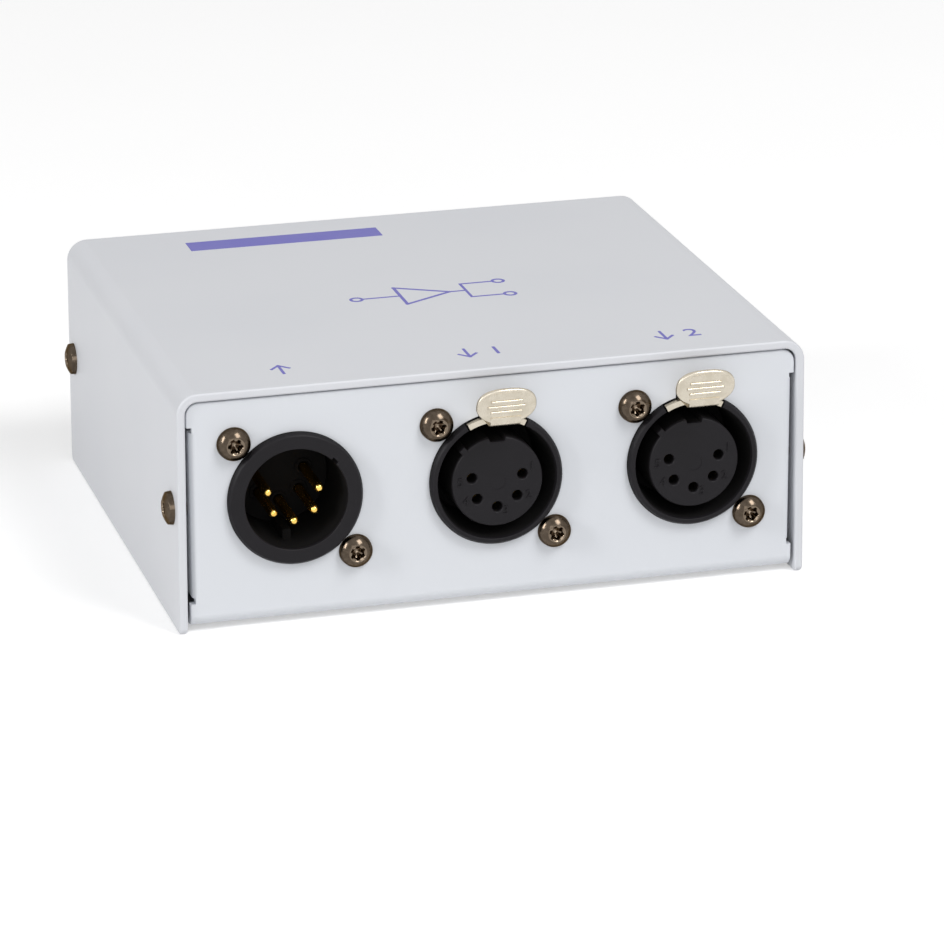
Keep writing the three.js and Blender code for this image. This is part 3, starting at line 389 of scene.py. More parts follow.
def tidy(mesh):
    """Merges doubled points and turns every face outwards."""
    work = bmesh.new()
    work.from_mesh(mesh)
    bmesh.ops.remove_doubles(work, verts=work.verts, dist=1e-4)
    bmesh.ops.dissolve_degenerate(work, edges=work.edges, dist=1e-5)
    bmesh.ops.recalc_face_normals(work, faces=work.faces)
    work.to_mesh(mesh)
    work.free()
    return mesh


def evaluated_mesh(piece):
    bpy.context.view_layer.update()
    graph = bpy.context.evaluated_depsgraph_get()
    return bpy.data.meshes.new_from_object(piece.evaluated_get(graph))


def applied(piece):
    """Gives the piece the mesh that its modifiers make, and removes them."""
    mesh = evaluated_mesh(piece)
    piece.modifiers.clear()
    old, piece.data = piece.data, mesh
    bpy.data.meshes.remove(old)
    return piece


def modified(piece, kind, **settings):
    modifier = piece.modifiers.new(kind.lower(), kind)
    for name, value in settings.items():
        setattr(modifier, name, value)
    return applied(piece)


def loft(name, rings):
    """A closed piece through rings of points, capped at both ends."""
    count = len(rings[0])
    points = [point for ring in rings for point in ring]
    last = len(points) - count
    faces = []
    for start in range(0, last, count):
        for i in range(start, start + count):
            j = start + (i + 1 - start) % count
            faces.append((i, j, j + count, i + count))
    faces += [tuple(range(count)), tuple(range(last, last + count))]
    mesh = bpy.data.meshes.new(name)
    mesh.from_pydata(points, [], faces)
    return new_object(name, tidy(mesh))


LAY = {
    "X": lambda a, b, along: (along, a, b),
    "Y": lambda a, b, along: (a, along, b),
    "Z": lambda a, b, along: (a, b, along),
}


def plate(name, outline, start, end, axis="Y"):
    """A flat outline given thickness along an axis."""
    return loft(name, [[LAY[axis](a, b, along) for a, b in outline] for along in (start, end)])


def box_outline(x, z):
    return [(x[0], z[0]), (x[1], z[0]), (x[1], z[1]), (x[0], z[1])]


def block(name, x, y, z):
    return plate(name, box_outline(x, z), *y)


def circle(radius, centre=(0, 0), steps=96):
    turns = [2 * pi * i / steps for i in range(steps)]
    return [(centre[0] + radius * cos(turn), centre[1] + radius * sin(turn)) for turn in turns]


def turned(name, profile, centre=(0, 0), steps=96):
    """Pairs of a radius and a distance along Y, turned round an axis along Y at x and z."""
    rings = [[(x, along, z) for x, z in circle(radius, centre, steps)] for radius, along in profile]
    return loft(name, rings)


def arc(x, z, radius, start, end, steps=5):
    """Points on an arc round (x, z), from one angle to another in degrees."""
    turns = [radians(start + (end - start) * i / steps) for i in range(steps + 1)]
    return [(x + radius * cos(turn), z + radius * sin(turn)) for turn in turns]


print("three ways to make a solid, one function")

# %% [markdown]
# Sheet corners, moulded edges and button heads are round. `rounded` puts an arc in place of each
# corner of an outline, and `softened` lets the Bevel modifier do the same along the sharp edges
# of a solid. Weighted normals then keep the broad faces flat right up to the rounding. What a
# boolean cuts with or adds is joined to one mesh first, so each body needs only a step or two.

# %% Rounding and cutting
BEVEL_ANGLE = 40


def rounded(corners, radii, steps=6):
    """The outline with an arc at each corner; a radius of 0 keeps the corner sharp."""
    outline = []
    for i, corner in enumerate(corners):
        here, radius = Vector(corner), radii[i] if isinstance(radii, (list, tuple)) else radii
        if radius == 0:
            outline.append(tuple(here))
            continue
        to_last = (Vector(corners[i - 1]) - here).normalized()
        to_next = (Vector(corners[(i + 1) % len(corners)]) - here).normalized()
        half = to_last.angle(to_next) / 2
        centre = here + (to_last + to_next).normalized() * radius / sin(half)
        first = here + to_last * radius / tan(half) - centre
        final = here + to_next * radius / tan(half) - centre
        start = atan2(first.y, first.x)
        sweep = (atan2(final.y, final.x) - start + pi) % (2 * pi) - pi
        for step in range(steps + 1):
            turn = start + sweep * step / steps
            outline.append((centre.x + radius * cos(turn), centre.y + radius * sin(turn)))
    return outline


def joined(name, parts):
    """One object out of several, each shell kept as it is."""
    work = bmesh.new()
    for part in parts:
        work.from_mesh(part.data)
        bpy.data.objects.remove(part)
    mesh = bpy.data.meshes.new(name)
    work.to_mesh(mesh)
    work.free()
    return new_object(name, mesh)


def combined(body, others, operation="DIFFERENCE"):
    """Cuts the other objects out of the body, joins them to it, or keeps what they share."""
    tool = joined("tool", others)
    modified(body, "BOOLEAN", operation=operation, solver="EXACT", use_self=True, object=tool)
    bpy.data.objects.remove(tool)
    return body


def softened(body, width, segments=2):
    return modified(
        body, "BEVEL", width=width, segments=segments, limit_method="ANGLE",
        angle_limit=radians(BEVEL_ANGLE), use_clamp_overlap=True,
    )


def shaded(body, angle=38):
    body.data.shade_smooth()
    body.data.set_sharp_from_angle(angle=radians(angle))
    return modified(body, "WEIGHTED_NORMAL", keep_sharp=True)


def open_edges(mesh):
    """How many edges don't lie between exactly two faces."""
    work = bmesh.new()
    work.from_mesh(mesh)
    count = sum(len(edge.link_faces) != 2 for edge in work.edges)
    work.free()
    return count


def completed(piece, body, stands_for, material=None):
    """Brings a piece from millimetres to metres, paints it and lets it ride on its body."""
    piece.data.transform(Matrix.Scale(MM, 4))
    if material:
        piece.data.materials.clear()
        piece.data.materials.append(material)
    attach(piece, body)
    if stands_for:
        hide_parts(*stands_for)
    faces, gaps = len(piece.data.polygons), open_edges(piece.data)
    print(f"{piece.name}: {faces} faces on {body}, open edges {gaps}")
    return piece


# %% [markdown]
# Cover and chassis are both one sheet folded into a U, so one geometry tree folds both. It draws
# the middle of the sheet as a line with two corners, rounds the corners with a Fillet Curve, and
# pulls the line out into a sheet. Its inputs are the sizes that a press brake is set to.

# %% A tree that folds a sheet
def new_tree(name, sizes):
    """A geometry tree with named sizes as inputs, and a wire for each of them."""
    group = bpy.data.node_groups.new(name, "GeometryNodeTree")
    group.interface.new_socket("Geometry", in_out="INPUT", socket_type="NodeSocketGeometry")
    group.interface.new_socket("Geometry", in_out="OUTPUT", socket_type="NodeSocketGeometry")
    for label in [*sizes, "Material"]:
        kind = "NodeSocketMaterial" if label == "Material" else "NodeSocketFloat"
        group.interface.new_socket(label, in_out="INPUT", socket_type=kind)
    tree = Tree(group)
    entry = group.nodes.new("NodeGroupInput")
    return tree, {socket.name: Wire(tree, socket) for socket in entry.outputs if socket.name}


def end_tree(tree, geometry, material):
    """The tree's last nodes: instances become real, and the material goes on."""
    real = tree.node("GeometryNodeRealizeInstances", values=[geometry])
    dressed = tree.node("GeometryNodeSetMaterial", values={"Geometry": real, "Material": material})
    exit_node = tree.group.nodes.new("NodeGroupOutput")
    tree.group.links.new(dressed.socket, exit_node.inputs[0])
    return tree


def pick(tree, index, choices):
    """One value for each index, by an Index Switch."""
    switch = tree.group.nodes.new("GeometryNodeIndexSwitch")
    switch.data_type = "FLOAT"
    while len(switch.index_switch_items) < len(choices):
        switch.index_switch_items.new()
    for place, value in enumerate([index, *choices]):
        if isinstance(value, Wire):
            tree.group.links.new(value.socket, switch.inputs[place])
        else:
            switch.inputs[place].default_value = value
    return Wire(tree, switch.outputs[0])


def grown(name, tree, sizes, points=((0, 0, 0),), turns=None):
    """A plain mesh that a tree grows on the given points, each with its own turn if it has one."""
    turns = turns or [(0, 0, 0)] * len(points)
    mesh = bpy.data.meshes.new(name)
    mesh.from_pydata(points, [], [])
    turn = mesh.attributes.new("turn", "FLOAT_VECTOR", "POINT")
    turn.data.foreach_set("vector", [angle for three in turns for angle in three])
    made = new_object(name, mesh)
    modifier = made.modifiers.new(name, "NODES")
    modifier.node_group = tree.group
    for socket in tree.group.interface.items_tree:
        if socket.in_out == "INPUT" and socket.name in sizes:
            modifier[socket.identifier] = sizes[socket.name]
    return applied(made)


def folding_tree():
    tree, size = new_tree("folded_sheet", ["Half Width", "Spread", "Rise", "Length", "Bend Radius"])
    index = tree.node("GeometryNodeInputIndex")
    half = size["Half Width"]
    foot = half + size["Spread"]
    across = pick(tree, index, [-1.0 * foot, -1.0 * half, half, foot])
    rise = pick(tree, index, [0.0, size["Rise"], size["Rise"], 0.0])
    line = tree.node("GeometryNodeMeshLine", values={"Count": 4})
    corners = tree.node("GeometryNodeSetPosition", values={
        "Geometry": line, "Position": tree.node("ShaderNodeCombineXYZ", values=[across, 0.0, rise]),
    })
    path = tree.node("GeometryNodeMeshToCurve", values=[corners])
    bent = tree.node("GeometryNodeFilletCurve", {"mode": "POLY"}, {
        "Curve": path, "Count": 14, "Radius": size["Bend Radius"],
    })
    edge = tree.node("GeometryNodeCurveToMesh", values={"Curve": bent})
    along = tree.node("ShaderNodeCombineXYZ", values=[0.0, size["Length"], 0.0])
    sheet = tree.node("GeometryNodeExtrudeMesh", {"mode": "EDGES"}, {"Mesh": edge, "Offset": along})
    return end_tree(tree, sheet, size["Material"])


fold = folding_tree()
print("folding tree:", len(fold.group.nodes), "nodes")

# %% [markdown]
# The cover is the largest piece: one sheet bent down at both sides. The tree folds it a little
# too long, and an outline of its side trims it, so that the lower corners get their small radius.
# Its sides spring out by 0.4 mm at the foot, as the photograph shows, and its top is 0.04 mm
# under the solid's, which leaves room for the print's layer of ink.

# %% Cover
TRIM = 1
PRINT_THICKNESS = 0.04
COVER_BEND = 3.7
COVER_SPREAD = 0.4
COVER_FOOT = 1.2
SHEET_EDGE = 0.38
SIDE_SCREW_HOLE = 1.65
ENDS = ("front", "rear")
side_screw_y = [middle_mm(f"cover_screw_left_{end}")[1] for end in ENDS]
side_screw_z = middle_mm("cover_screw_left_front")[2]
beyond = cover_high.x + TRIM


def side_holes():
    """Rods through both sides, where the cover's screws go."""
    return [plate("hole", circle(SIDE_SCREW_HOLE, (y, side_screw_z), 32), -beyond, beyond, "X")
            for y in side_screw_y]


def folded(name, sizes, place):
    """A sheet off the folding tree, moved to its place and given its thickness."""
    sheet = grown(name, fold, sizes)
    sheet.data.transform(place)
    return modified(sheet, "SOLIDIFY", thickness=SHEET, offset=0, use_even_offset=True)


def cover_shell():
    top = cover_high.z - PRINT_THICKNESS
    shell = folded("cover_shell", {
        "Half Width": cover_high.x - SHEET / 2,
        "Spread": COVER_SPREAD,
        "Rise": top - SHEET / 2 + TRIM,
        "Length": cover_high.y - cover_low.y + 2 * TRIM,
        "Bend Radius": COVER_BEND - SHEET / 2,
    }, Matrix.Translation((0, cover_low.y - TRIM, -TRIM)))
    side = rounded(box_outline((cover_low.y, cover_high.y), (0, cover_high.z + TRIM)),
                   [COVER_FOOT, COVER_FOOT, 0, 0])
    combined(shell, [plate("side", side, -beyond, beyond, "X")], "INTERSECT")
    softened(shell, SHEET_EDGE, segments=3)
    combined(shell, side_holes())
    return completed(shaded(shell), "case", ["top_cover"], COVER_PAINT)


cover_shell()

# %% [markdown]
# The chassis is folded by the same tree, turned over: front panel, floor and rear panel are one
# sheet. Four narrow flanges behind the panels' side edges take the side screws, and a small notch
# at both ends of each lets the sheet bend there. In the photograph the notches are the dark spots
# beside the front panel. The screws' holes are cut with a tool that flares, as a deburred hole
# does.

# %% Chassis
PANEL_BEND = 2.2
PANEL_CORNER = 2.2
SIDE_BEND = 1.0
SIDE_BEND_INSIDE = 0.1
FLANGE_FACE = 52.85
FLANGE_DEPTH = 10
FLANGE_Z = (6.2, 35.5)
NOTCH_HEIGHT = 1
NOTCH_DEPTH = 0.9
RING_RADIUS = 11.65
RING_GAP = 0.03
SCREW_RADIUS = 1.45
SCREW_GAP = 0.2
SCREW_PLACES = [(-10.35, 10.5), (10.35, -10.5)]
LATCH_NOTCH_HALF = 3.0
LATCH_NOTCH_Z = (10.55, 12.84)
DEBURR = 0.12
INLET_SIZE = (27, 20)
INLET_FLANGE = (24, 11.25)
INLET_GAP = 0.3
INLET_THICKNESS = 2.5
INLET_CORNER = 0.8
INLET_SCREW_REACH = 20
SPIGOT_HOLE = 2.15
inlet_low, inlet_high = box_mm("mains_inlet")
inlet_x = middle_mm("mains_inlet")[0]
inlet_z = inlet_high.z - INLET_FLANGE[1]
INLET_SCREWS = [inlet_x - INLET_SCREW_REACH, inlet_x + INLET_SCREW_REACH]


def flared(start, end, centre):
    """A screw's rod along Y that widens where it leaves the sheet at start and at end."""
    radius = SCREW_RADIUS + SCREW_GAP
    wide = radius + DEBURR + TRIM
    profile = [(wide, start - TRIM), (radius, start + DEBURR)]
    return turned("hole", profile + [(radius, end - DEBURR), (wide, end + TRIM)], centre, 48)


def side_flange(side, panel, inward):
    """One side flange, bent back from the panel's outer face."""
    face, root = FLANGE_FACE, FLANGE_FACE - SIDE_BEND - TRIM
    plan = [(root, 0), (face, 0), (face, FLANGE_DEPTH), (face - SHEET, FLANGE_DEPTH),
            (face - SHEET, SHEET), (root, SHEET)]
    plan = rounded(plan, [0, SIDE_BEND, SHEET_EDGE, SHEET_EDGE, SIDE_BEND_INSIDE, 0])
    return plate("flange", [(side * x, panel + inward * y) for x, y in plan], *FLANGE_Z, "Z")


def chassis_sheet():
    low, high = chassis_low, chassis_high
    rise = high.z + TRIM - low.z - SHEET / 2
    length = 2 * high.x + 2 * TRIM
    turn = Matrix.Rotation(pi / 2, 4, "Z") @ Matrix.Rotation(pi, 4, "Y")
    place = Vector((length / 2, (low.y + high.y) / 2, low.z + SHEET / 2 + rise))
    sheet = folded("chassis_sheet", {
        "Half Width": (high.y - low.y - SHEET) / 2, "Spread": 0.0, "Rise": rise,
        "Length": length, "Bend Radius": PANEL_BEND - SHEET / 2,
    }, Matrix.Translation(place) @ turn)
    front = rounded(box_outline((low.x, high.x), (low.z - TRIM, high.z)),
                    [0, 0, PANEL_CORNER, PANEL_CORNER])
    combined(sheet, [plate("front", front, low.y - TRIM, high.y + TRIM)], "INTERSECT")
    softened(sheet, SHEET_EDGE * 0.7, segments=3)
    cuts, flanges = [], []
    for side in (-1, 1):
        for panel, inward in ((low.y, 1), (high.y, -1)):
            through = sorted((panel - inward * TRIM, panel + inward * (SHEET + TRIM)))
            for name, start, reach in (("notch", high.x - NOTCH_DEPTH, NOTCH_HEIGHT),
                                       ("edge", FLANGE_FACE - SIDE_BEND, 0)):
                across = sorted((side * start, side * cover_high.x))
                upright = (FLANGE_Z[0] - reach, FLANGE_Z[1] + reach)
                cuts.append(block(name, across, through, upright))
            flanges.append(side_flange(side, panel, inward))
    combined(sheet, cuts)
    combined(sheet, flanges, "UNION")
    combined(sheet, side_holes() + connector_cuts() + inlet_cuts() + spigot_holes())
    return completed(shaded(sheet), "case", ["chassis"], CHASSIS_PAINT)


def connector_cuts():
    """The front panel's holes for the rings and their screws, and a notch above each latch."""
    start, end = chassis_low.y, chassis_low.y + SHEET
    cuts = []
    for name, x in row_x.items():
        ring = [(RING_RADIUS + RING_GAP, along) for along in (start - TRIM, end + TRIM)]
        cuts.append(turned("hole", ring, (x, row_z), 160))
        cuts += [flared(start, end, (x + dx, row_z + dz)) for dx, dz in SCREW_PLACES]
        if name in OUTPUTS:
            cuts.append(block("notch", (x - LATCH_NOTCH_HALF, x + LATCH_NOTCH_HALF),
                              (start - TRIM, end + TRIM), [row_z + z for z in LATCH_NOTCH_Z]))
    return cuts


def inlet_cuts():
    """The rear panel's opening for the mains inlet, and the holes of its two screws."""
    start, end = chassis_high.y - SHEET, chassis_high.y
    wide, tall = (size / 2 + INLET_GAP for size in INLET_SIZE)
    opening = box_outline((inlet_x - wide, inlet_x + wide), (inlet_z - tall, inlet_z + tall))
    cuts = [plate("opening", rounded(opening, INLET_CORNER), start - TRIM, end + TRIM)]
    return cuts + [flared(start, end, (x, inlet_z)) for x in INLET_SCREWS]


def spigot_holes():
    """The two holes in the floor that the board's posts are pressed into."""
    floor = chassis_low.z - TRIM, chassis_low.z + SHEET + TRIM
    centres = [middle_mm(f"board_post_{side}")[:2] for side in SIDES]
    return [plate("spigot", circle(SPIGOT_HOLE, centre, 48), *floor, "Z") for centre in centres]


chassis_sheet()

# %% [markdown]
# A connector is a moulding: a ring that stands 1.3 mm out of the panel, a square flange behind
# the panel, and a body behind that. Both kinds share this, so one function makes it with its
# front face at y = -1.3 and its centre at the origin. The two screw heads sit in round bites in
# the ring.

# %% What the connectors share
RING_REACH = 1.3
FLANGE_THICKNESS = 2.5
BODY_HALF = 11.5
BODY_Z = (-14, 12.6)
BODY_DEPTH = 20
BITE_RADIUS = 3.4
BITE_EDGE = 0.2
RIM_CHAMFER = 0.34
OVERLAP = 0.5
CONNECTOR_SCREW_LENGTH = 6.0
flange_back = SHEET + FLANGE_THICKNESS
body_back = SHEET + BODY_DEPTH


def rod(name, radius, start, end, centre=(0, 0), steps=32):
    """A plain rod along Y."""
    return turned(name, [(radius, start), (radius, end)], centre, steps)


def connector_body(name):
    """The ring's edge is steep, and a thin bevel inside it takes the light."""
    edge, face, back = RING_RADIUS - RIM_CHAMFER, -RING_REACH, RIM_CHAMFER * 1.5 - RING_REACH
    rim = [(edge - 0.4, face), (edge - 0.2, face), (edge - 0.1, face + 0.04), (edge, face + 0.13)]
    rim += [(RING_RADIUS - 0.06, back), (RING_RADIUS, back + 0.2)]
    shell = turned(name, rim + [(RING_RADIUS, flange_back - OVERLAP)], steps=160)
    half = (-FLANGE_HALF, FLANGE_HALF)
    flange = plate("flange", rounded(box_outline(half, half), 2), SHEET, flange_back)
    body = rounded(box_outline((-BODY_HALF, BODY_HALF), BODY_Z), 0.8)
    body = plate("body", body, flange_back - OVERLAP, body_back)
    combined(shell, [softened(flange, 0.2), softened(body, 0.3)], "UNION")
    bite = [(BITE_RADIUS + BITE_EDGE, face - TRIM), (BITE_RADIUS + BITE_EDGE, face)]
    bite += [(BITE_RADIUS, BITE_EDGE - RING_REACH), (BITE_RADIUS, 0)]
    cuts = []
    for centre in SCREW_PLACES:
        cuts.append(turned("bite", bite, centre, 64))
        cuts.append(rod("bore", SCREW_RADIUS + 0.15, -TRIM, CONNECTOR_SCREW_LENGTH + TRIM, centre))
    return combined(shell, cuts)


def at_connector(piece, name):
    """Moves a mesh made round the origin to its connector's place in the row."""
    piece.data.transform(Matrix.Translation((row_x[name], panel_front, row_z)))
    return piece


def on_connector(piece, name, stands_for, material, body="case"):
    at_connector(piece, name)
    return completed(shaded(piece), body, stands_for, material)


print("connector body:", body_back, "mm deep")

# %% [markdown]
# The input is a deep cup with a rib and a key in its wall, so that a plug fits one way only. Its
# pins stand in a disc at the floor. The cup's mouth is rounded by the cutting tool's own flare.

# %% Input connector
CUP_RADIUS = 8.875
CUP_DEPTH = 13.8
CUP_SEAT = 3.5
CUP_BACK = 7.4
CUP_EDGE = 0.2
CUP_NOTCH = 43
PIN_HOLE = 0.95
INSERT_TAIL = 2
INSERT_GAP = 0.15
PIN_CIRCLE = 4.55
PIN_STEP = 51
cup_floor = CUP_DEPTH - RING_REACH
cup_seat = cup_floor + CUP_SEAT


def contact_places(first_side, drop=0.0):
    """The five contacts, counted from the side that -1 (left) or 1 (right) stands for."""
    turns = [radians(PIN_STEP * step) for step in (2, 1, 0, -1, -2)]
    return [(first_side * PIN_CIRCLE * sin(turn), -PIN_CIRCLE * cos(turn) - drop) for turn in turns]


def input_ring():
    shell = connector_body("input_ring")
    bore = [(CUP_RADIUS + CUP_EDGE, -RING_REACH - TRIM)]
    bore += arc(CUP_RADIUS + CUP_EDGE, CUP_EDGE - RING_REACH, CUP_EDGE, -90, -180)
    bore += [(CUP_RADIUS, cup_seat), (CUP_BACK, cup_seat), (CUP_BACK, body_back + TRIM)]
    combined(shell, [turned("bore", bore, steps=160)])
    wall = CUP_RADIUS + TRIM
    rib = block("rib", (-1.35, 0.15), (4.1, cup_floor), (-wall, 1.8 - CUP_RADIUS))
    key = block("key", (-1.1, 1.1), (5.5, cup_floor), (CUP_RADIUS - 1.2, wall))
    combined(shell, [softened(rib, 0.15), softened(key, 0.15)], "UNION")
    notch_reach = (CUP_RADIUS - 1, CUP_RADIUS + 0.55)
    notch = block("notch", notch_reach, (-RING_REACH - TRIM, cup_floor), (-0.6, 0.6))
    notch.data.transform(Matrix.Rotation(-radians(CUP_NOTCH), 4, "Y"))
    pocket = block("pocket", (-2, 2), (6.5, 8.4), (CUP_RADIUS - 2.5, CUP_RADIUS + 1.2))
    combined(shell, [pocket, notch])
    return on_connector(shell, "input", ["input_shell"], CONNECTOR_BLACK)


def input_insert():
    """The disc at the cup's floor, with a raised collar round each pin."""
    wide, narrow, back = CUP_RADIUS - INSERT_GAP, CUP_BACK - INSERT_GAP, cup_seat + INSERT_TAIL
    disc = turned("input_disc", [(wide - 0.2, cup_floor), (wide, cup_floor + 0.2), (wide, cup_seat),
                                 (narrow, cup_seat), (narrow, back)])
    collar = [(1.45, cup_floor - 0.25), (1.55, cup_floor - 0.15), (1.55, cup_floor + TRIM)]
    places = contact_places(-1)
    combined(disc, [turned("collar", collar, place, 32) for place in places], "UNION")
    ends = (cup_floor - TRIM, back + TRIM)
    combined(disc, [rod("hole", PIN_HOLE, *ends, place) for place in places])
    return on_connector(disc, "input", ["input_insert"], CONNECTOR_BLACK)


input_ring()
input_insert()

# %% [markdown]
# An output has a mouth that funnels the plug's tube into the gap round an insert, and a slot
# above for the latch. The slot has wide ends for the latch's pin and its spring. All of it is cut
# with plain tools, in the order in which the moulding's own cores would be pulled.

# %% Output connectors
MOUTH_RADIUS = 10.5
MOUTH_EDGE = 0.15
MOUTH_FUNNEL = 5.0
PLUG_BORE = 9.75
PLUG_DEPTH = 12.3
INSERT_SEAT = 4
INSERT_BACK = 8.4
STRIP_HEIGHT = 10.55
STRIP_THICKNESS = 0.8
STRIP_HALF = 2.7
SLOT_HALF = 3.0
LATCH_ROOM = 0.3
COIL_RADIUS = 2.3
COIL_END = 7.2
ARCH_HALF = 27
ARCH_RADII = (10.42, 11.47)
ARCH_DEPTH = 1.1
HOOK_Y = (5.7, 7.5)
HOOK_HALF = 1.8
HOOK_REACH = 1.35
PIVOT_Y = 17
PIVOT_RADIUS = 0.8
PIVOT_HALF = 8.2
strip_top = STRIP_HEIGHT + STRIP_THICKNESS
pivot_z = STRIP_HEIGHT + STRIP_THICKNESS / 2
insert_flange = PLUG_DEPTH - RING_REACH


def arch_outline(half, inner, outer):
    """A band round the connector's axis, `half` degrees to each side of its top."""
    ends = (90 - half, 90 + half, 24)
    return arc(0, 0, outer, *ends) + arc(0, 0, inner, *ends)[::-1]


def latch_room():
    """The cuts that leave the latch, its pin and its spring their places."""
    top, low, open_y = FLANGE_HALF + TRIM, STRIP_HEIGHT - LATCH_ROOM, -RING_REACH - TRIM
    hook = HOOK_HALF + LATCH_ROOM
    hook_y = (HOOK_Y[0] - LATCH_ROOM, HOOK_Y[1] + LATCH_ROOM)
    arch = arch_outline(ARCH_HALF + 1.5, ARCH_RADII[0] - LATCH_ROOM, top)

    def pocket(name, across, radius):
        return block(name, across, (PIVOT_Y - radius, PIVOT_Y + radius), (pivot_z - radius, top))

    return [
        block("slot", (-SLOT_HALF, SLOT_HALF), (open_y, PIVOT_Y + 1.5), (low, top)),
        block("hook", (-hook, hook), hook_y, (PLUG_BORE - HOOK_REACH, low + TRIM)),
        plate("arch", arch, open_y, ARCH_DEPTH - RING_REACH + LATCH_ROOM),
        pocket("bearing", (-PIVOT_HALF - 0.2, PIVOT_HALF + 0.2), PIVOT_RADIUS + 0.2),
        pocket("coil", (0, COIL_END), COIL_RADIUS),
    ]


def output_ring(name):
    shell = connector_body(name.replace("output", "output_ring"))
    seat, edge = PLUG_DEPTH + INSERT_SEAT - RING_REACH, MOUTH_EDGE
    bore = [(MOUTH_RADIUS + edge, -RING_REACH - TRIM)]
    bore += arc(MOUTH_RADIUS + edge, edge - RING_REACH, edge, -90, -175)
    bore += [(PLUG_BORE, MOUTH_FUNNEL - RING_REACH), (PLUG_BORE, seat), (INSERT_BACK, seat)]
    bore += [(INSERT_BACK, body_back + TRIM)]
    combined(shell, [turned("bore", bore, steps=160), *latch_room()])
    return on_connector(shell, name, [f"{name}_shell"], CONNECTOR_BLACK)


for name in OUTPUTS:
    output_ring(name)

# %% [markdown]
# The insert fills the mouth: a drum with five funnelled holes, a keyway at the top and a rib on
# its upper left. Holes in a moulding have a soft lead-in that catches the light as a crescent.
# Plain numbers stand 0.18 mm proud beside the holes, made from text that is turned into a mesh.

# %% Output inserts
INSERT_RADIUS = 8
INSERT_DROP = 0.25
INSERT_FACE = -1.2
HOLE_RADIUS = 0.9
HOLE_LEAD = 0.3
DRUM_EDGE = 0.42
RIB_ANGLE = 135
NUMBER_SIZE = 2.1
NUMBER_OFFSETS = [(1.6, 1.2), (1.95, 0), (1.5, -0.75), (-2.0, -0.2), (-2.1, -0.6)]
NUMBER_RELIEF = 0.18


def lettering(name, text, size, thickness):
    """Plain lettering as a mesh in the XY plane, centred on the origin."""
    curve = bpy.data.curves.new(name, "FONT")
    curve.body, curve.size, curve.extrude = text, size, thickness
    curve.align_x, curve.align_y, curve.resolution_u = "CENTER", "CENTER", 4
    words = new_object(name, curve)
    mesh = evaluated_mesh(words)
    bpy.data.objects.remove(words)
    return new_object(name, tidy(mesh))


def insert_drum(name):
    edge, face, seat = DRUM_EDGE, INSERT_FACE, insert_flange + INSERT_SEAT
    profile = [(INSERT_RADIUS - 0.85, face)] + arc(INSERT_RADIUS - edge, face + edge, edge, -75, 0)
    drum = turned(name, profile + [(INSERT_RADIUS, insert_flange + TRIM)], (0, -INSERT_DROP), 128)
    wide, narrow = PLUG_BORE - INSERT_GAP, INSERT_BACK - INSERT_GAP
    disc = [(wide, insert_flange), (wide, seat), (narrow, seat), (narrow, seat + INSERT_TAIL)]
    rib_reach = (INSERT_RADIUS - 0.8, INSERT_RADIUS + 0.8)
    rib = softened(block("rib", rib_reach, (face, insert_flange + OVERLAP), (-0.6, 0.6)), 0.15)
    turn = Matrix.Rotation(-radians(RIB_ANGLE), 4, "Y")
    rib.data.transform(Matrix.Translation((0, 0, -INSERT_DROP)) @ turn)
    combined(drum, [rib, turned("disc", disc, steps=128)], "UNION")
    top = INSERT_RADIUS - INSERT_DROP
    keyway = [(-1.25, top - 0.9), (1.25, top - 0.9), (1.6, top)]
    keyway += [(1.6, top + TRIM), (-1.6, top + TRIM), (-1.6, top)]
    return combined(drum, [plate("keyway", keyway, face - TRIM, insert_flange)])


def polish_leads(drum):
    """Gives the faces of the five lead-ins the second material slot."""
    places = [Vector((x, 0, z)) for x, z in contact_places(1, INSERT_DROP)]
    for face in drum.data.polygons:
        across = Vector((face.center.x, 0, face.center.z))
        near = min((across - place).length for place in places)
        if HOLE_RADIUS < near < HOLE_RADIUS + HOLE_LEAD and face.center.y > INSERT_FACE + 0.005:
            face.material_index = 1


def output_insert(name):
    drum = insert_drum(name.replace("output", "output_insert"))
    face, mouth, bore = INSERT_FACE, HOLE_RADIUS + HOLE_LEAD, 1.32
    hole = [(mouth, face - TRIM)] + arc(mouth, face + HOLE_LEAD, HOLE_LEAD, -90, -180, 8)
    hole += [(HOLE_RADIUS, face + 1.6), (bore, face + 1.6), (bore, insert_flange + INSERT_SEAT + 3)]
    places = contact_places(1, INSERT_DROP)
    cuts = [rod("mark", 1.45, face - TRIM, face + 0.06, (0, -INSERT_DROP), 64)]
    combined(drum, cuts + [turned("hole", hole, place, 40) for place in places])
    polish_leads(shaded(drum))
    numbers = []
    for i, (x, z) in enumerate(places):
        number = lettering("number", str(i + 1), NUMBER_SIZE, NUMBER_RELIEF)
        place = Matrix.Translation((x + NUMBER_OFFSETS[i][0], face, z + NUMBER_OFFSETS[i][1]))
        number.data.transform(place @ Matrix.Rotation(pi / 2, 4, "X"))
        numbers.append(number)
    drum = at_connector(joined(drum.name, [drum, *numbers]), name)
    completed(drum, "case", [f"{name}_insert"], CONNECTOR_BLACK)
    drum.data.materials.append(CORE_POLISH)


for name in OUTPUTS:
    output_insert(name)

# %% [markdown]
# Screws and pins are turned parts, so one function builds a tree that turns a list of rows. Each
# row is a radius and a distance along the axis, written with the tree's named inputs. A grid of
# rows by steps is bent round, its seam and its poles are merged, and a copy is set on every
# point. Some rows can be lobed, for a socket, and some marked, so that the finish paints a
# highlight there.

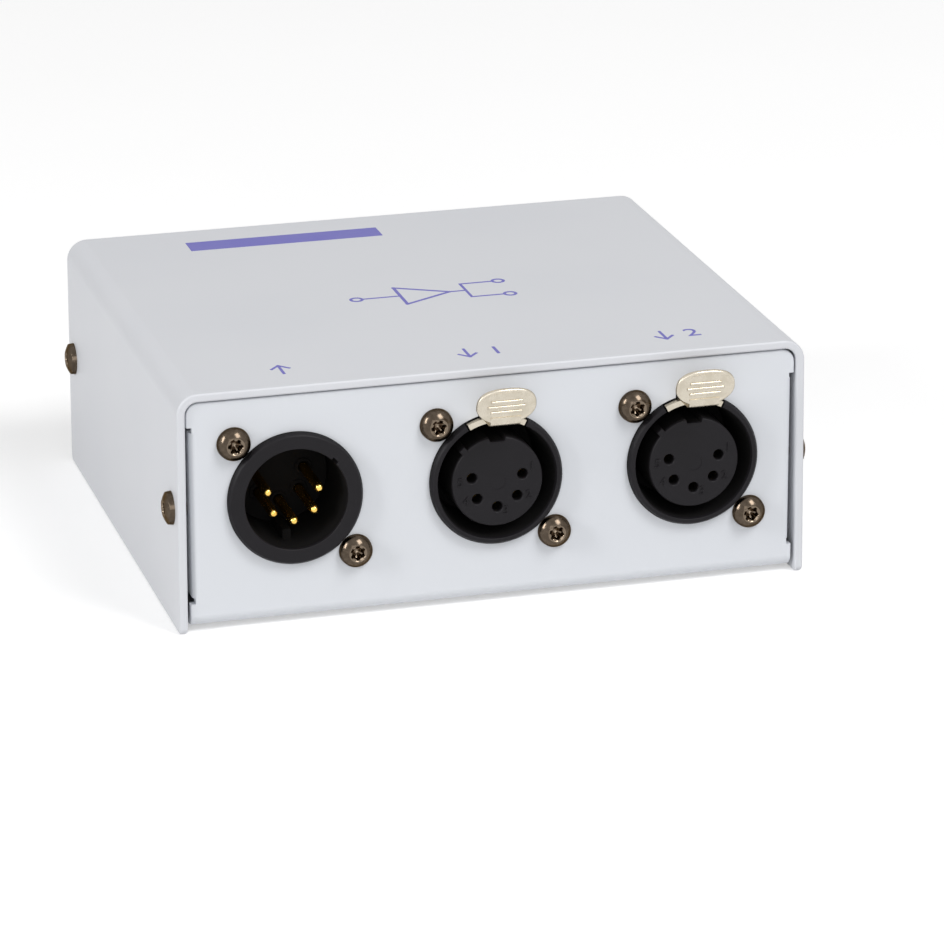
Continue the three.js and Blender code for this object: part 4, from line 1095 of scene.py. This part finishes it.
# %% A tree that turns rows
def turning_tree(name, sizes, rows, steps, lobed=(), rubbed=()):
    tree, size = new_tree(name, sizes)
    profile = rows(size)
    count = len(profile)
    grid = tree.node("GeometryNodeMeshGrid", values={"Vertices X": steps + 1, "Vertices Y": count})
    index = tree.node("GeometryNodeInputIndex")
    step = (index / count).maths("FLOOR")
    row = index - step * count
    turn = step * (2 * pi / steps)
    wave = (turn * 6).maths("COSINE")
    radii = [radius * (1 + size["Lobe"] * wave) if place in lobed else radius
             for place, (radius, along) in enumerate(profile)]
    radius = pick(tree, row, radii)
    place = tree.node("ShaderNodeCombineXYZ", values=[
        radius * turn.maths("COSINE"), pick(tree, row, [along for radius, along in profile]),
        radius * turn.maths("SINE"),
    ])
    bent = tree.node("GeometryNodeSetPosition", values={"Geometry": grid, "Position": place})
    # rows marked here get the finish's painted highlight
    glint_mask = [float(place in rubbed) for place in range(count)]
    marked = tree.node("GeometryNodeStoreNamedAttribute", {"data_type": "FLOAT"}, {
        "Geometry": bent, "Name": "rubbed", "Value": pick(tree, row, glint_mask),
    })
    whole = tree.node("GeometryNodeMergeByDistance", values={
        "Geometry": marked, "Distance": 0.0005,
    })
    angle = tree.node("GeometryNodeInputNamedAttribute", {"data_type": "FLOAT_VECTOR"}, {
        "Name": "turn",
    })
    points = tree.node("GeometryNodeMeshToPoints", values={"Mesh": size["Geometry"]})
    copies = tree.node("GeometryNodeInstanceOnPoints", values={
        "Points": points, "Instance": whole, "Rotation": angle,
    })
    return end_tree(tree, copies, size["Material"])


def screw_rows(size):
    """A domed head on a leaning edge, with a six-lobed socket in a round rim, and a plain shank."""
    top, wide, socket = -1.0 * size["Head Height"], size["Head Radius"], size["Socket"]
    shank, length, dome = size["Shank"], size["Length"], size["Dome"]
    floor_y, crown = top + size["Depth"], socket * 1.44

    def drop(radius):
        return (dome * dome - radius * radius).maths("SQRT")

    centre = top + 0.06 + drop(crown)
    rows = [(0.0, floor_y + 0.8), (socket * 0.5, floor_y + 0.4), (socket * 0.92, floor_y),
            (socket * 0.96, top + 0.34), (socket, top + 0.2), (socket * 1.16, top + 0.12),
            (socket * 1.22, top + 0.02), (socket * 1.30, top), (socket * 1.40, top + 0.03)]
    for i in range(9):
        radius = crown + (wide - 0.15 - crown) * (i / 8)
        rows.append((radius, centre - drop(radius)))
    rim = rows[-1][1]
    rows += [(wide - 0.11, rim + 0.07), (wide, -0.05), (wide, 0.0)]
    return rows + [(shank, 0.0), (shank, length - 0.4), (shank - 0.4, length), (0.0, length)]


SCREW_SIZES = {
    "Head Radius": 2.9, "Head Height": 1.7, "Dome": 3.7, "Socket": 1.15, "Depth": 1.4, "Lobe": 0.1,
    "Shank": SCREW_RADIUS,
}
PANEL_HEAD = {"Head Height": 2.0, "Dome": 3.3}
COVER_HEAD = {"Dome": 5.0}
# rows 0 to 7, the socket and its rim, are marked for a painted highlight
button_screw = turning_tree("button_screws", [*SCREW_SIZES, "Length"], screw_rows, 72,
                            lobed=(2, 3, 4), rubbed=range(8))
print("screw tree:", len(button_screw.group.nodes), "nodes")

# %% [markdown]
# Fourteen screws hold the box together, and a hand never leaves two of them turned alike. Each
# point carries its own turn: first a spin about the screw's axis, then the side that it faces.

# %% Screws
SHORT_SCREW = 5.0
SPINS = (9, 47, 23, 38, 4, 29, 51, 16, 33, 12, 55, 41, 19, 27)
spins = iter(radians(spin) for spin in SPINS)


def screws(name, length, places, stands_for, **head):
    """Screws at (x, y, z) under the head, each facing as its turn says."""
    points = [point for point, turn in places]
    sizes = {**SCREW_SIZES, "Length": length, "Material": SCREW_BRONZE, **head}
    made = grown(name, button_screw, sizes, points, [turn for point, turn in places])
    tidy(made.data)
    return completed(shaded(made, 50), "case", stands_for)


screws("cover_screws", SHORT_SCREW, [
    ((side * cover_high.x, y, side_screw_z), (0, next(spins), side * pi / 2))
    for side in (-1, 1) for y in side_screw_y
], [f"cover_screw_{side}_{end}" for side in SIDES for end in ENDS], **COVER_HEAD)
screws("connector_screws", CONNECTOR_SCREW_LENGTH, [
    ((x + dx, panel_front, row_z + dz), (0, next(spins), 0))
    for x in row_x.values() for dx, dz in SCREW_PLACES
], [f"{name}_screw_{end}" for name in CONNECTORS for end in ("upper", "lower")], **PANEL_HEAD)
screws("inlet_screws", CONNECTOR_SCREW_LENGTH, [
    ((x, chassis_high.y + INLET_THICKNESS, inlet_z), (0, next(spins), pi)) for x in INLET_SCREWS
], [f"inlet_screw_{side}" for side in SIDES])
board_names = [f"board_screw_{side}" for side in SIDES]
board_face = box_mm(board_names[0])[1].z - SCREW_SIZES["Head Height"]
screws("board_screws", SHORT_SCREW, [
    ((*middle_mm(name)[:2], board_face), (-pi / 2, 0, next(spins))) for name in board_names
], board_names)

# %% [markdown]
# The input's five pins are turned brass with a bullet nose, plated with gold. Each ends in a
# square leg that goes down through the board behind the connector, so two blocks are joined to
# each.

# %% Pins
LEG_HALF = 0.4
LEG_ROWS = (25.2, 23.1)
PIN_FRONT = 0.45
leg_foot = box_mm("input_pin_1")[0].z - row_z


def contact_legs(places, start):
    """A square leg behind each contact, back to its row and down through the board."""
    half, legs = LEG_HALF, []
    for i, (x, z) in enumerate(places):
        row, across = LEG_ROWS[i % 2], (x - half, x + half)
        tail = block("tail", across, (start, row + half), (z - half, z + half))
        leg = block("leg", across, (row - half, row + half), (leg_foot, z - half))
        legs += [softened(tail, 0.06), softened(leg, 0.06)]
    return legs


def pin_rows(size):
    radius, nose, length = size["Radius"], size["Nose"], size["Length"]
    rows = [(0.0, 0.0)]
    for i in range(1, 7):
        turn = pi / 2 * i / 6
        rows.append((radius * (0.12 + 0.88 * sin(turn)), nose * (1 - cos(turn))))
    return rows + [(radius, length), (0.0, length)]


def contacts(title, name, tree, sizes, places, start, end, kind):
    """Five turned contacts of one connector, from start to end along Y, each with its leg."""
    sizes = {**sizes, "Length": end - start, "Material": CONTACT_GOLD}
    made = grown("contacts", tree, sizes, [(x, start, z) for x, z in places])
    tidy(made.data)
    made = at_connector(joined(title, [made, *contact_legs(places, end - OVERLAP)]), name)
    stands_for = [f"{name}_{kind}_{number}" for number in range(1, 6)]
    return completed(shaded(made), "case", stands_for, CONTACT_GOLD)


round_pin = turning_tree("round_pins", ["Radius", "Nose", "Length"], pin_rows, 40)
contacts("input_pins", "input", round_pin, {"Radius": 0.8, "Nose": 0.9}, contact_places(-1),
         PIN_FRONT, cup_seat + INSERT_TAIL, "pin")

# %% [markdown]
# Behind each hole of an output waits a gold sleeve, split on the real one so that it grips the
# pin. It starts deep in the hole, which is why the holes look black. The turning tree makes it as
# a row of radii that goes in through the bore and comes back along the outside.

# %% Contact sleeves
SLEEVE_SETBACK = 4.2
SLEEVE_END = 13.6


def sleeve_rows(size):
    bore, wide, length = size["Bore"], size["Radius"], size["Length"]
    rows = [(0.0, length - 1.0), (bore, length - 1.0), (bore, 0.25), (bore + 0.12, 0.0)]
    return rows + [(wide - 0.05, 0.0), (wide, 0.2), (wide, length), (0.0, length)]


sleeve = turning_tree("contact_sleeves", ["Bore", "Radius", "Length"], sleeve_rows, 32)
for name in OUTPUTS:
    contacts(name.replace("output", "output_sleeves"), name, sleeve, {"Bore": 0.88, "Radius": 1.2},
             contact_places(1, INSERT_DROP), INSERT_FACE + SLEEVE_SETBACK, SLEEVE_END, "contact")

# %% [markdown]
# A latch is one pressed and plated strip. Outside it bends up into an oval push tab, an arch of
# it fills the gap in the ring, a hook below holds the plug, and it rocks on a cross pin. The tab
# is lofted through ovals, so that its rim is rolled and its face slightly hollow, and three small
# ribs give the thumb its grip. Everything rides on the latch's own body.

# %% Latches
TAB_LEAN = 12
TAB_SIZE = (5.2, 3.35)
TAB_RISE = -0.55
TAB_SHOULDER = 2.6
NECK_BEND = 1.2
NECK_Y = -5.4
NECK_HEIGHT = STRIP_HEIGHT + 0.65
NECK_STEM = 0.9
JOGGLE = (-0.15, -0.9)
TAB_RINGS = [
    (0.6, 0.16, 0), (0.8, 0.15, 0), (1, 0.1, 0.6), (1, 0.01, 0.42), (1, 0, 0.34), (1, 0.04, 0.16),
    (1, 0.14, 0.04), (1, 0.3, 0), (1, 0.6, 0), (1, 0.74, 0.06), (1, 0.8, 0.22),
]
TAB_RIBS = ((-1.0, 2.8), (0.0, 3.3), (1.0, 2.8))


def tab_frame():
    """Where the tab's foot stands, and how the tab leans forward."""
    lean, middle = radians(TAB_LEAN), NECK_BEND - STRIP_THICKNESS / 2
    foot = (0, NECK_Y - middle * cos(lean), NECK_HEIGHT + NECK_BEND - middle * sin(lean))
    return Matrix.Translation(foot) @ Matrix.Rotation(lean, 4, "X")


def oval(share, along, inset):
    """An oval whose upper half has fuller shoulders than an ellipse."""
    wide, high = TAB_SIZE
    points = []
    for x, z in circle(1):
        power = 2 / TAB_SHOULDER if z > 0 else 1
        x, z = copysign(abs(x) ** power, x), copysign(abs(z) ** power, z)
        rise = TAB_RISE + high + (high - inset) * share * z
        points.append(((wide - inset) * share * x, along, rise))
    return points


def latch_tab():
    """`TAB_RINGS` holds each ring's share of the size, depth behind the face and inset."""
    half = STRIP_THICKNESS / 2
    tab = loft("tab", [oval(share, depth - half, inset) for share, depth, inset in TAB_RINGS])
    ribs = []
    for rise, reach in TAB_RIBS:
        z = TAB_RISE + TAB_SIZE[1] + rise
        rib = block("rib", (-reach, reach), (-half - 0.05, half), (z - 0.26, z + 0.26))
        ribs.append(softened(rib, 0.16, 3))
    combined(tab, ribs, "UNION")
    tab.data.transform(tab_frame())
    return tab


def latch_strip():
    """The strip's outline from the side: past the pivot, up a joggle and round to the tab."""
    lean, lift, back = radians(TAB_LEAN), NECK_HEIGHT - STRIP_HEIGHT, PIVOT_Y + 1.2
    centre, upright = (NECK_Y, NECK_HEIGHT + NECK_BEND), TAB_LEAN - 180
    outer = arc(*centre, NECK_BEND, -90, upright, 10)
    inner = arc(*centre, NECK_BEND - STRIP_THICKNESS, upright, -90, 10)
    stem = [(y - NECK_STEM * sin(lean), z + NECK_STEM * cos(lean))
            for y, z in (outer[-1], inner[0])]
    side = [(back, STRIP_HEIGHT), (JOGGLE[0], STRIP_HEIGHT), (JOGGLE[1], STRIP_HEIGHT + lift)]
    side += [*outer, *stem, *inner]
    side += [(JOGGLE[1], strip_top + lift), (JOGGLE[0], strip_top), (back, strip_top)]
    return softened(plate("strip", side, -STRIP_HALF, STRIP_HALF, "X"), 0.14)


def latch(name):
    body = latch_strip()
    body.name = name.replace("output", "lever")
    arch = plate("arch", arch_outline(ARCH_HALF, *ARCH_RADII), -RING_REACH, ARCH_DEPTH - RING_REACH)
    hook_z = (STRIP_HEIGHT - HOOK_REACH, strip_top - 0.1)
    hook = block("hook", (-HOOK_HALF, HOOK_HALF), HOOK_Y, hook_z)
    pin = plate("pin", circle(PIVOT_RADIUS, (PIVOT_Y, pivot_z), 48), -PIVOT_HALF, PIVOT_HALF, "X")
    parts = [softened(arch, 0.12), softened(hook, 0.15), softened(pin, 0.12), latch_tab()]
    combined(body, parts, "UNION")
    return on_connector(body, name, [f"{name}_latch"], LATCH_NICKEL,
                        name.replace("output", "latch"))


for name in OUTPUTS:
    latch(name)

# %% [markdown]
# The mains inlet in the rear panel is a standard socket of its kind: an oblong flange, a recess
# with two slanted corners and three flat blades. The recess is one slanted outline cut out of the
# body.

# %% Mains inlet
RECESS = (12.1, 8.3)
RECESS_SLANT = 4.6
RECESS_DEPTH = 15.5
RECESS_MOUTH = 1.04
BLADE_HALF = (1, 2)
BLADE_ROOM = 0.1
BLADE_TAIL = 2.5
BLADES = {"live": (-7, -2), "neutral": (7, -2), "earth": (0, 2)}
AT_INLET = Matrix.Translation((inlet_x, chassis_high.y, inlet_z))
inlet_back = inlet_low.y - chassis_high.y


def inlet_body():
    wide, high = INLET_FLANGE
    outline = rounded(box_outline((-wide, wide), (-high, high)), 4)
    body = softened(plate("inlet_body", outline, 0, INLET_THICKNESS), 0.45, 3)
    half, tall = (size / 2 for size in INLET_SIZE)
    core = rounded(box_outline((-half, half), (-tall, tall)), INLET_CORNER)
    combined(body, [
        plate("core", core, inlet_back, 1),
        block("stand", (-half, half), (inlet_back, -SHEET), (inlet_low.z - inlet_z, 0)),
    ], "UNION")
    w, h, s = *RECESS, RECESS_SLANT
    recess = rounded([(-w, -h), (w, -h), (w, h - s), (w - s, h), (-w + s, h), (-w, h - s)], 0.7)
    floor_y = INLET_THICKNESS - RECESS_DEPTH
    cuts = [loft("recess", [[(x * grow, y, z * grow) for x, z in recess] for grow, y in (
        (1, floor_y), (1, INLET_THICKNESS - 0.5), (RECESS_MOUTH, INLET_THICKNESS),
        (RECESS_MOUTH, INLET_THICKNESS + TRIM))])]
    wide, high = (size + BLADE_ROOM for size in BLADE_HALF)
    for x, z in BLADES.values():
        along = (inlet_back - TRIM, floor_y + TRIM)
        cuts.append(block("slot", (x - wide, x + wide), along, (z - high, z + high)))
    for x in INLET_SCREWS:
        hole = SCREW_RADIUS + SCREW_GAP
        cuts.append(rod("bore", hole, -TRIM, INLET_THICKNESS + TRIM, (x - inlet_x, 0)))
    combined(body, cuts)
    body.data.transform(AT_INLET)
    return completed(shaded(body), "case", ["mains_inlet"], INLET_BLACK)


def inlet_blade(name, x, z):
    """A blade with a rounded nose, and its square leg down through the board."""
    low, (wide, high), half = box_mm(f"inlet_blade_{name}")[0], BLADE_HALF, LEG_HALF
    root, nose = inlet_back - BLADE_TAIL, INLET_THICKNESS - 3
    side = rounded(box_outline((root, nose), (z - high, z + high)), [0, 1.2, 1.2, 0])
    blade = softened(plate(f"inlet_prong_{name}", side, x - wide, x + wide, "X"), 0.3)
    row = low.y - chassis_high.y + half
    across = (x - half, x + half)
    tail = block("tail", across, (row - half, root + 1), (z - half, z + half))
    leg = block("leg", across, (row - half, row + half), (low.z - inlet_z, z - half))
    blade = joined(blade.name, [blade, tail, leg])
    blade.data.transform(AT_INLET)
    return completed(shaded(blade), "case", [f"inlet_blade_{name}"], TIN_PLATE)


inlet_body()
for name, place in BLADES.items():
    inlet_blade(name, *place)

# %% [markdown]
# The top is screen printed in violet: a plain bar, an arrow at each connector, the outputs' plain
# numbers, and a small signal diagram of our own in the middle. Ink lies on the paint as a film a
# few hundredths of a millimetre thick, so the marks are thin plates, joined where their strokes
# cross.

# %% Print on the top
PRINT_Z = (cover_high.z - PRINT_THICKNESS - 0.01, cover_high.z - 0.005)
LINE = 0.5
BAR = ((20.6, 56.6), (81.7, 87.05))
ROW_Y = 9.0
ARROW_HALF = 2.2
ARROW_WING = 1.5
NUMBER_HEIGHT = 5.6
PRINTED_NUMBERS = ((1, 55.0), (2, 90.0))
NUMBER_APART = 2.6


def printed(outline):
    """A printed shape, given in millimetres from the cover's left and front edges."""
    placed = [(x - cover_high.x, y + cover_low.y) for x, y in outline]
    return plate("ink", placed, *PRINT_Z, "Z")


def stroke(start, end, width=LINE):
    """A straight printed line with square ends."""
    a, b = Vector(start), Vector(end)
    along = (b - a).normalized() * width / 2
    across = Vector((-along.y, along.x))
    return printed([a - along - across, b + along - across, b + along + across, a - along + across])


def band(outline, width=LINE):
    return [stroke(outline[i - 1], outline[i], width) for i in range(len(outline))]


def printed_number(text, x):
    number = lettering("ink", text, NUMBER_HEIGHT, (PRINT_Z[1] - PRINT_Z[0]) / 2)
    place = (x - cover_high.x, ROW_Y + cover_low.y, sum(PRINT_Z) / 2)
    number.data.transform(Matrix.Translation(place))
    return number


def arrow(x, direction):
    """A short printed arrow, pointing to the rear (1) or to the front (-1)."""
    tip, head = (x, ROW_Y + direction * ARROW_HALF), ROW_Y + direction * 0.5
    wings = [stroke(tip, (x + side * ARROW_WING, head)) for side in (-1, 1)]
    return [stroke((x, ROW_Y - direction * ARROW_HALF), tip), *wings]


def diagram():
    """One line in, a triangle and two lines out, as any splitter's signal goes."""
    triangle = [(50.0, 39.0), (50.0, 49.0), (59.0, 44.0)]
    marks = band(triangle, 0.6)
    marks += [stroke((43.0, 44.0), (50.0, 44.0)), stroke((59.0, 44.0), (62.0, 44.0))]
    for y in (40.0, 48.0):
        marks += [stroke((62.0, 44.0), (62.0, y)), stroke((62.0, y), (68.0, y))]
        marks += band(circle(1.0, (69.0, y), 24))
    return marks + band(circle(1.0, (42.0, 44.0), 24))


def top_print():
    marks = [printed(box_outline(*BAR)), *arrow(20.0, 1), *diagram()]
    for number, x in PRINTED_NUMBERS:
        marks += [*arrow(x - NUMBER_APART, -1), printed_number(str(number), x + NUMBER_APART)]
    ink = combined(marks[0], marks[1:], "UNION")
    ink.name = "top_print"
    return completed(ink, "case", [], LABEL_INK)


top_print()

# %% [markdown]
# What stays as it is gets a finish: springs, nuts, posts, the board and its parts. The solids
# that a new piece stands for are hidden, but they get theirs too, because a library may show
# them. Each solid's record already names its slot, so one table turns slots into finishes.

# %% Finishes of the solids
FINISHES = {
    "cover_paint": COVER_PAINT, "chassis_paint": CHASSIS_PAINT, "connector_black": CONNECTOR_BLACK,
    "screw_bronze": SCREW_BRONZE, "latch_nickel": LATCH_NICKEL, "contact_gold": CONTACT_GOLD,
    "spring_steel": SPRING_STEEL, "tin_plate": TIN_PLATE, "board_laminate": BOARD_LAMINATE,
    "potting": POTTING, "chip_moulding": CHIP_BLACK, "can_sleeve": CAN_SLEEVE,
    "fuse_glass": FUSE_GLASS,
}
slots = {part["node"]: part["material_slot"] for part in frame["record"]["subparts"]}
for name, node in frame["nodes"].items():
    node.data.materials.clear()
    node.data.materials.append(FINISHES[slots[name]])
print("finished solids:", len(slots))

# %% [markdown]
# The box stands on a pale floor under soft studio light. The world is white to the camera and to
# anything that mirrors it, and dimmer as a light, so the steel keeps its own colour. The floor is
# helped up to white for the camera alone, most where the lamps fade, and it keeps the soft shadow
# under the box.

# %% Floor and world
FLOOR_HALF = 2.0
WORLD_FILL = 0.275
FLOOR_GLOW = 0.5


def seen_directly(tree):
    """1 for rays from the camera, off a mirror or through glass, and 0 for the others."""
    path = tree.node("ShaderNodeLightPath", output="Is Camera Ray")
    mirrored = path.maths("MAXIMUM", path.out("Is Glossy Ray"))
    return mirrored.maths("MAXIMUM", path.out("Is Transmission Ray"))


def light_world():
    world = bpy.data.worlds.new("studio")
    bpy.context.scene.world = world
    world.use_nodes = True
    tree = Tree(world.node_tree)
    background = tree.group.nodes["Background"]
    background.inputs["Color"].default_value = (1, 1, 1, 1)
    strength = WORLD_FILL + (1 - WORLD_FILL) * seen_directly(tree)
    tree.group.links.new(strength.socket, background.inputs["Strength"])


def lay_floor():
    corners = box_outline((-FLOOR_HALF, FLOOR_HALF), (-FLOOR_HALF, FLOOR_HALF))
    mesh = bpy.data.meshes.new("floor")
    mesh.from_pydata([(x, y, 0) for x, y in corners], [], [(0, 1, 2, 3)])
    floor = new_object("floor", mesh)
    paper = Finish("floor_paper", Roughness=0.9, Specular_IOR_Level=0.2,
                   Emission_Strength=FLOOR_GLOW)
    cloud = paper.grain(60.0)
    away = paper.node("ShaderNodeVectorMath", {"operation": "LENGTH"}, [paper.place],
                      output="Value")
    lit = paper.blend(paper.mask(away, 0.2, 1.2), (0.84, 0.84, 0.84), (1, 1, 1))
    glow = paper.blend(seen_directly(paper), (0, 0, 0), lit)
    paper.group.links.new(glow.socket, paper.shader.inputs["Emission Color"])
    shade = paper.blend(cloud, (0.80, 0.80, 0.80), (0.82, 0.82, 0.82))
    mesh.materials.append(paper.wear(colour=shade))


light_world()
lay_floor()

# %% [markdown]
# The screws' round heads tell where the lamps stood: a highlight at the top of each means a key
# lamp above the front right, and a thin one at the left edge a tall strip at the left. A third
# lamp beside the camera lifts the front panel, which is the brightest face in the photograph.

# %% Lamps
LAMP_AIM = (0, 0, 0.02)
LAMPS = {
    "key": ((0.53, -0.75, 1.12), 0.54, 0.60, 10.1),
    "side": ((-1.05, -0.34, 0.50), 0.14, 0.6, 5.0),
    "front": ((-0.35, -1.26, 0.50), 0.7, 0.7, 3.2),
}
for name, (position, wide, tall, power) in LAMPS.items():
    lamp = bpy.data.lights.new(name, "AREA")
    lamp.shape, lamp.size, lamp.size_y, lamp.energy = "RECTANGLE", wide, tall, power
    made = new_object(name, lamp)
    made.location = position
    toward = Vector(LAMP_AIM) - Vector(position)
    made.rotation_euler = toward.to_track_quat("-Z", "Y").to_euler()
bpy.context.scene.view_settings.view_transform = "Standard"
print("lamps:", list(LAMPS))
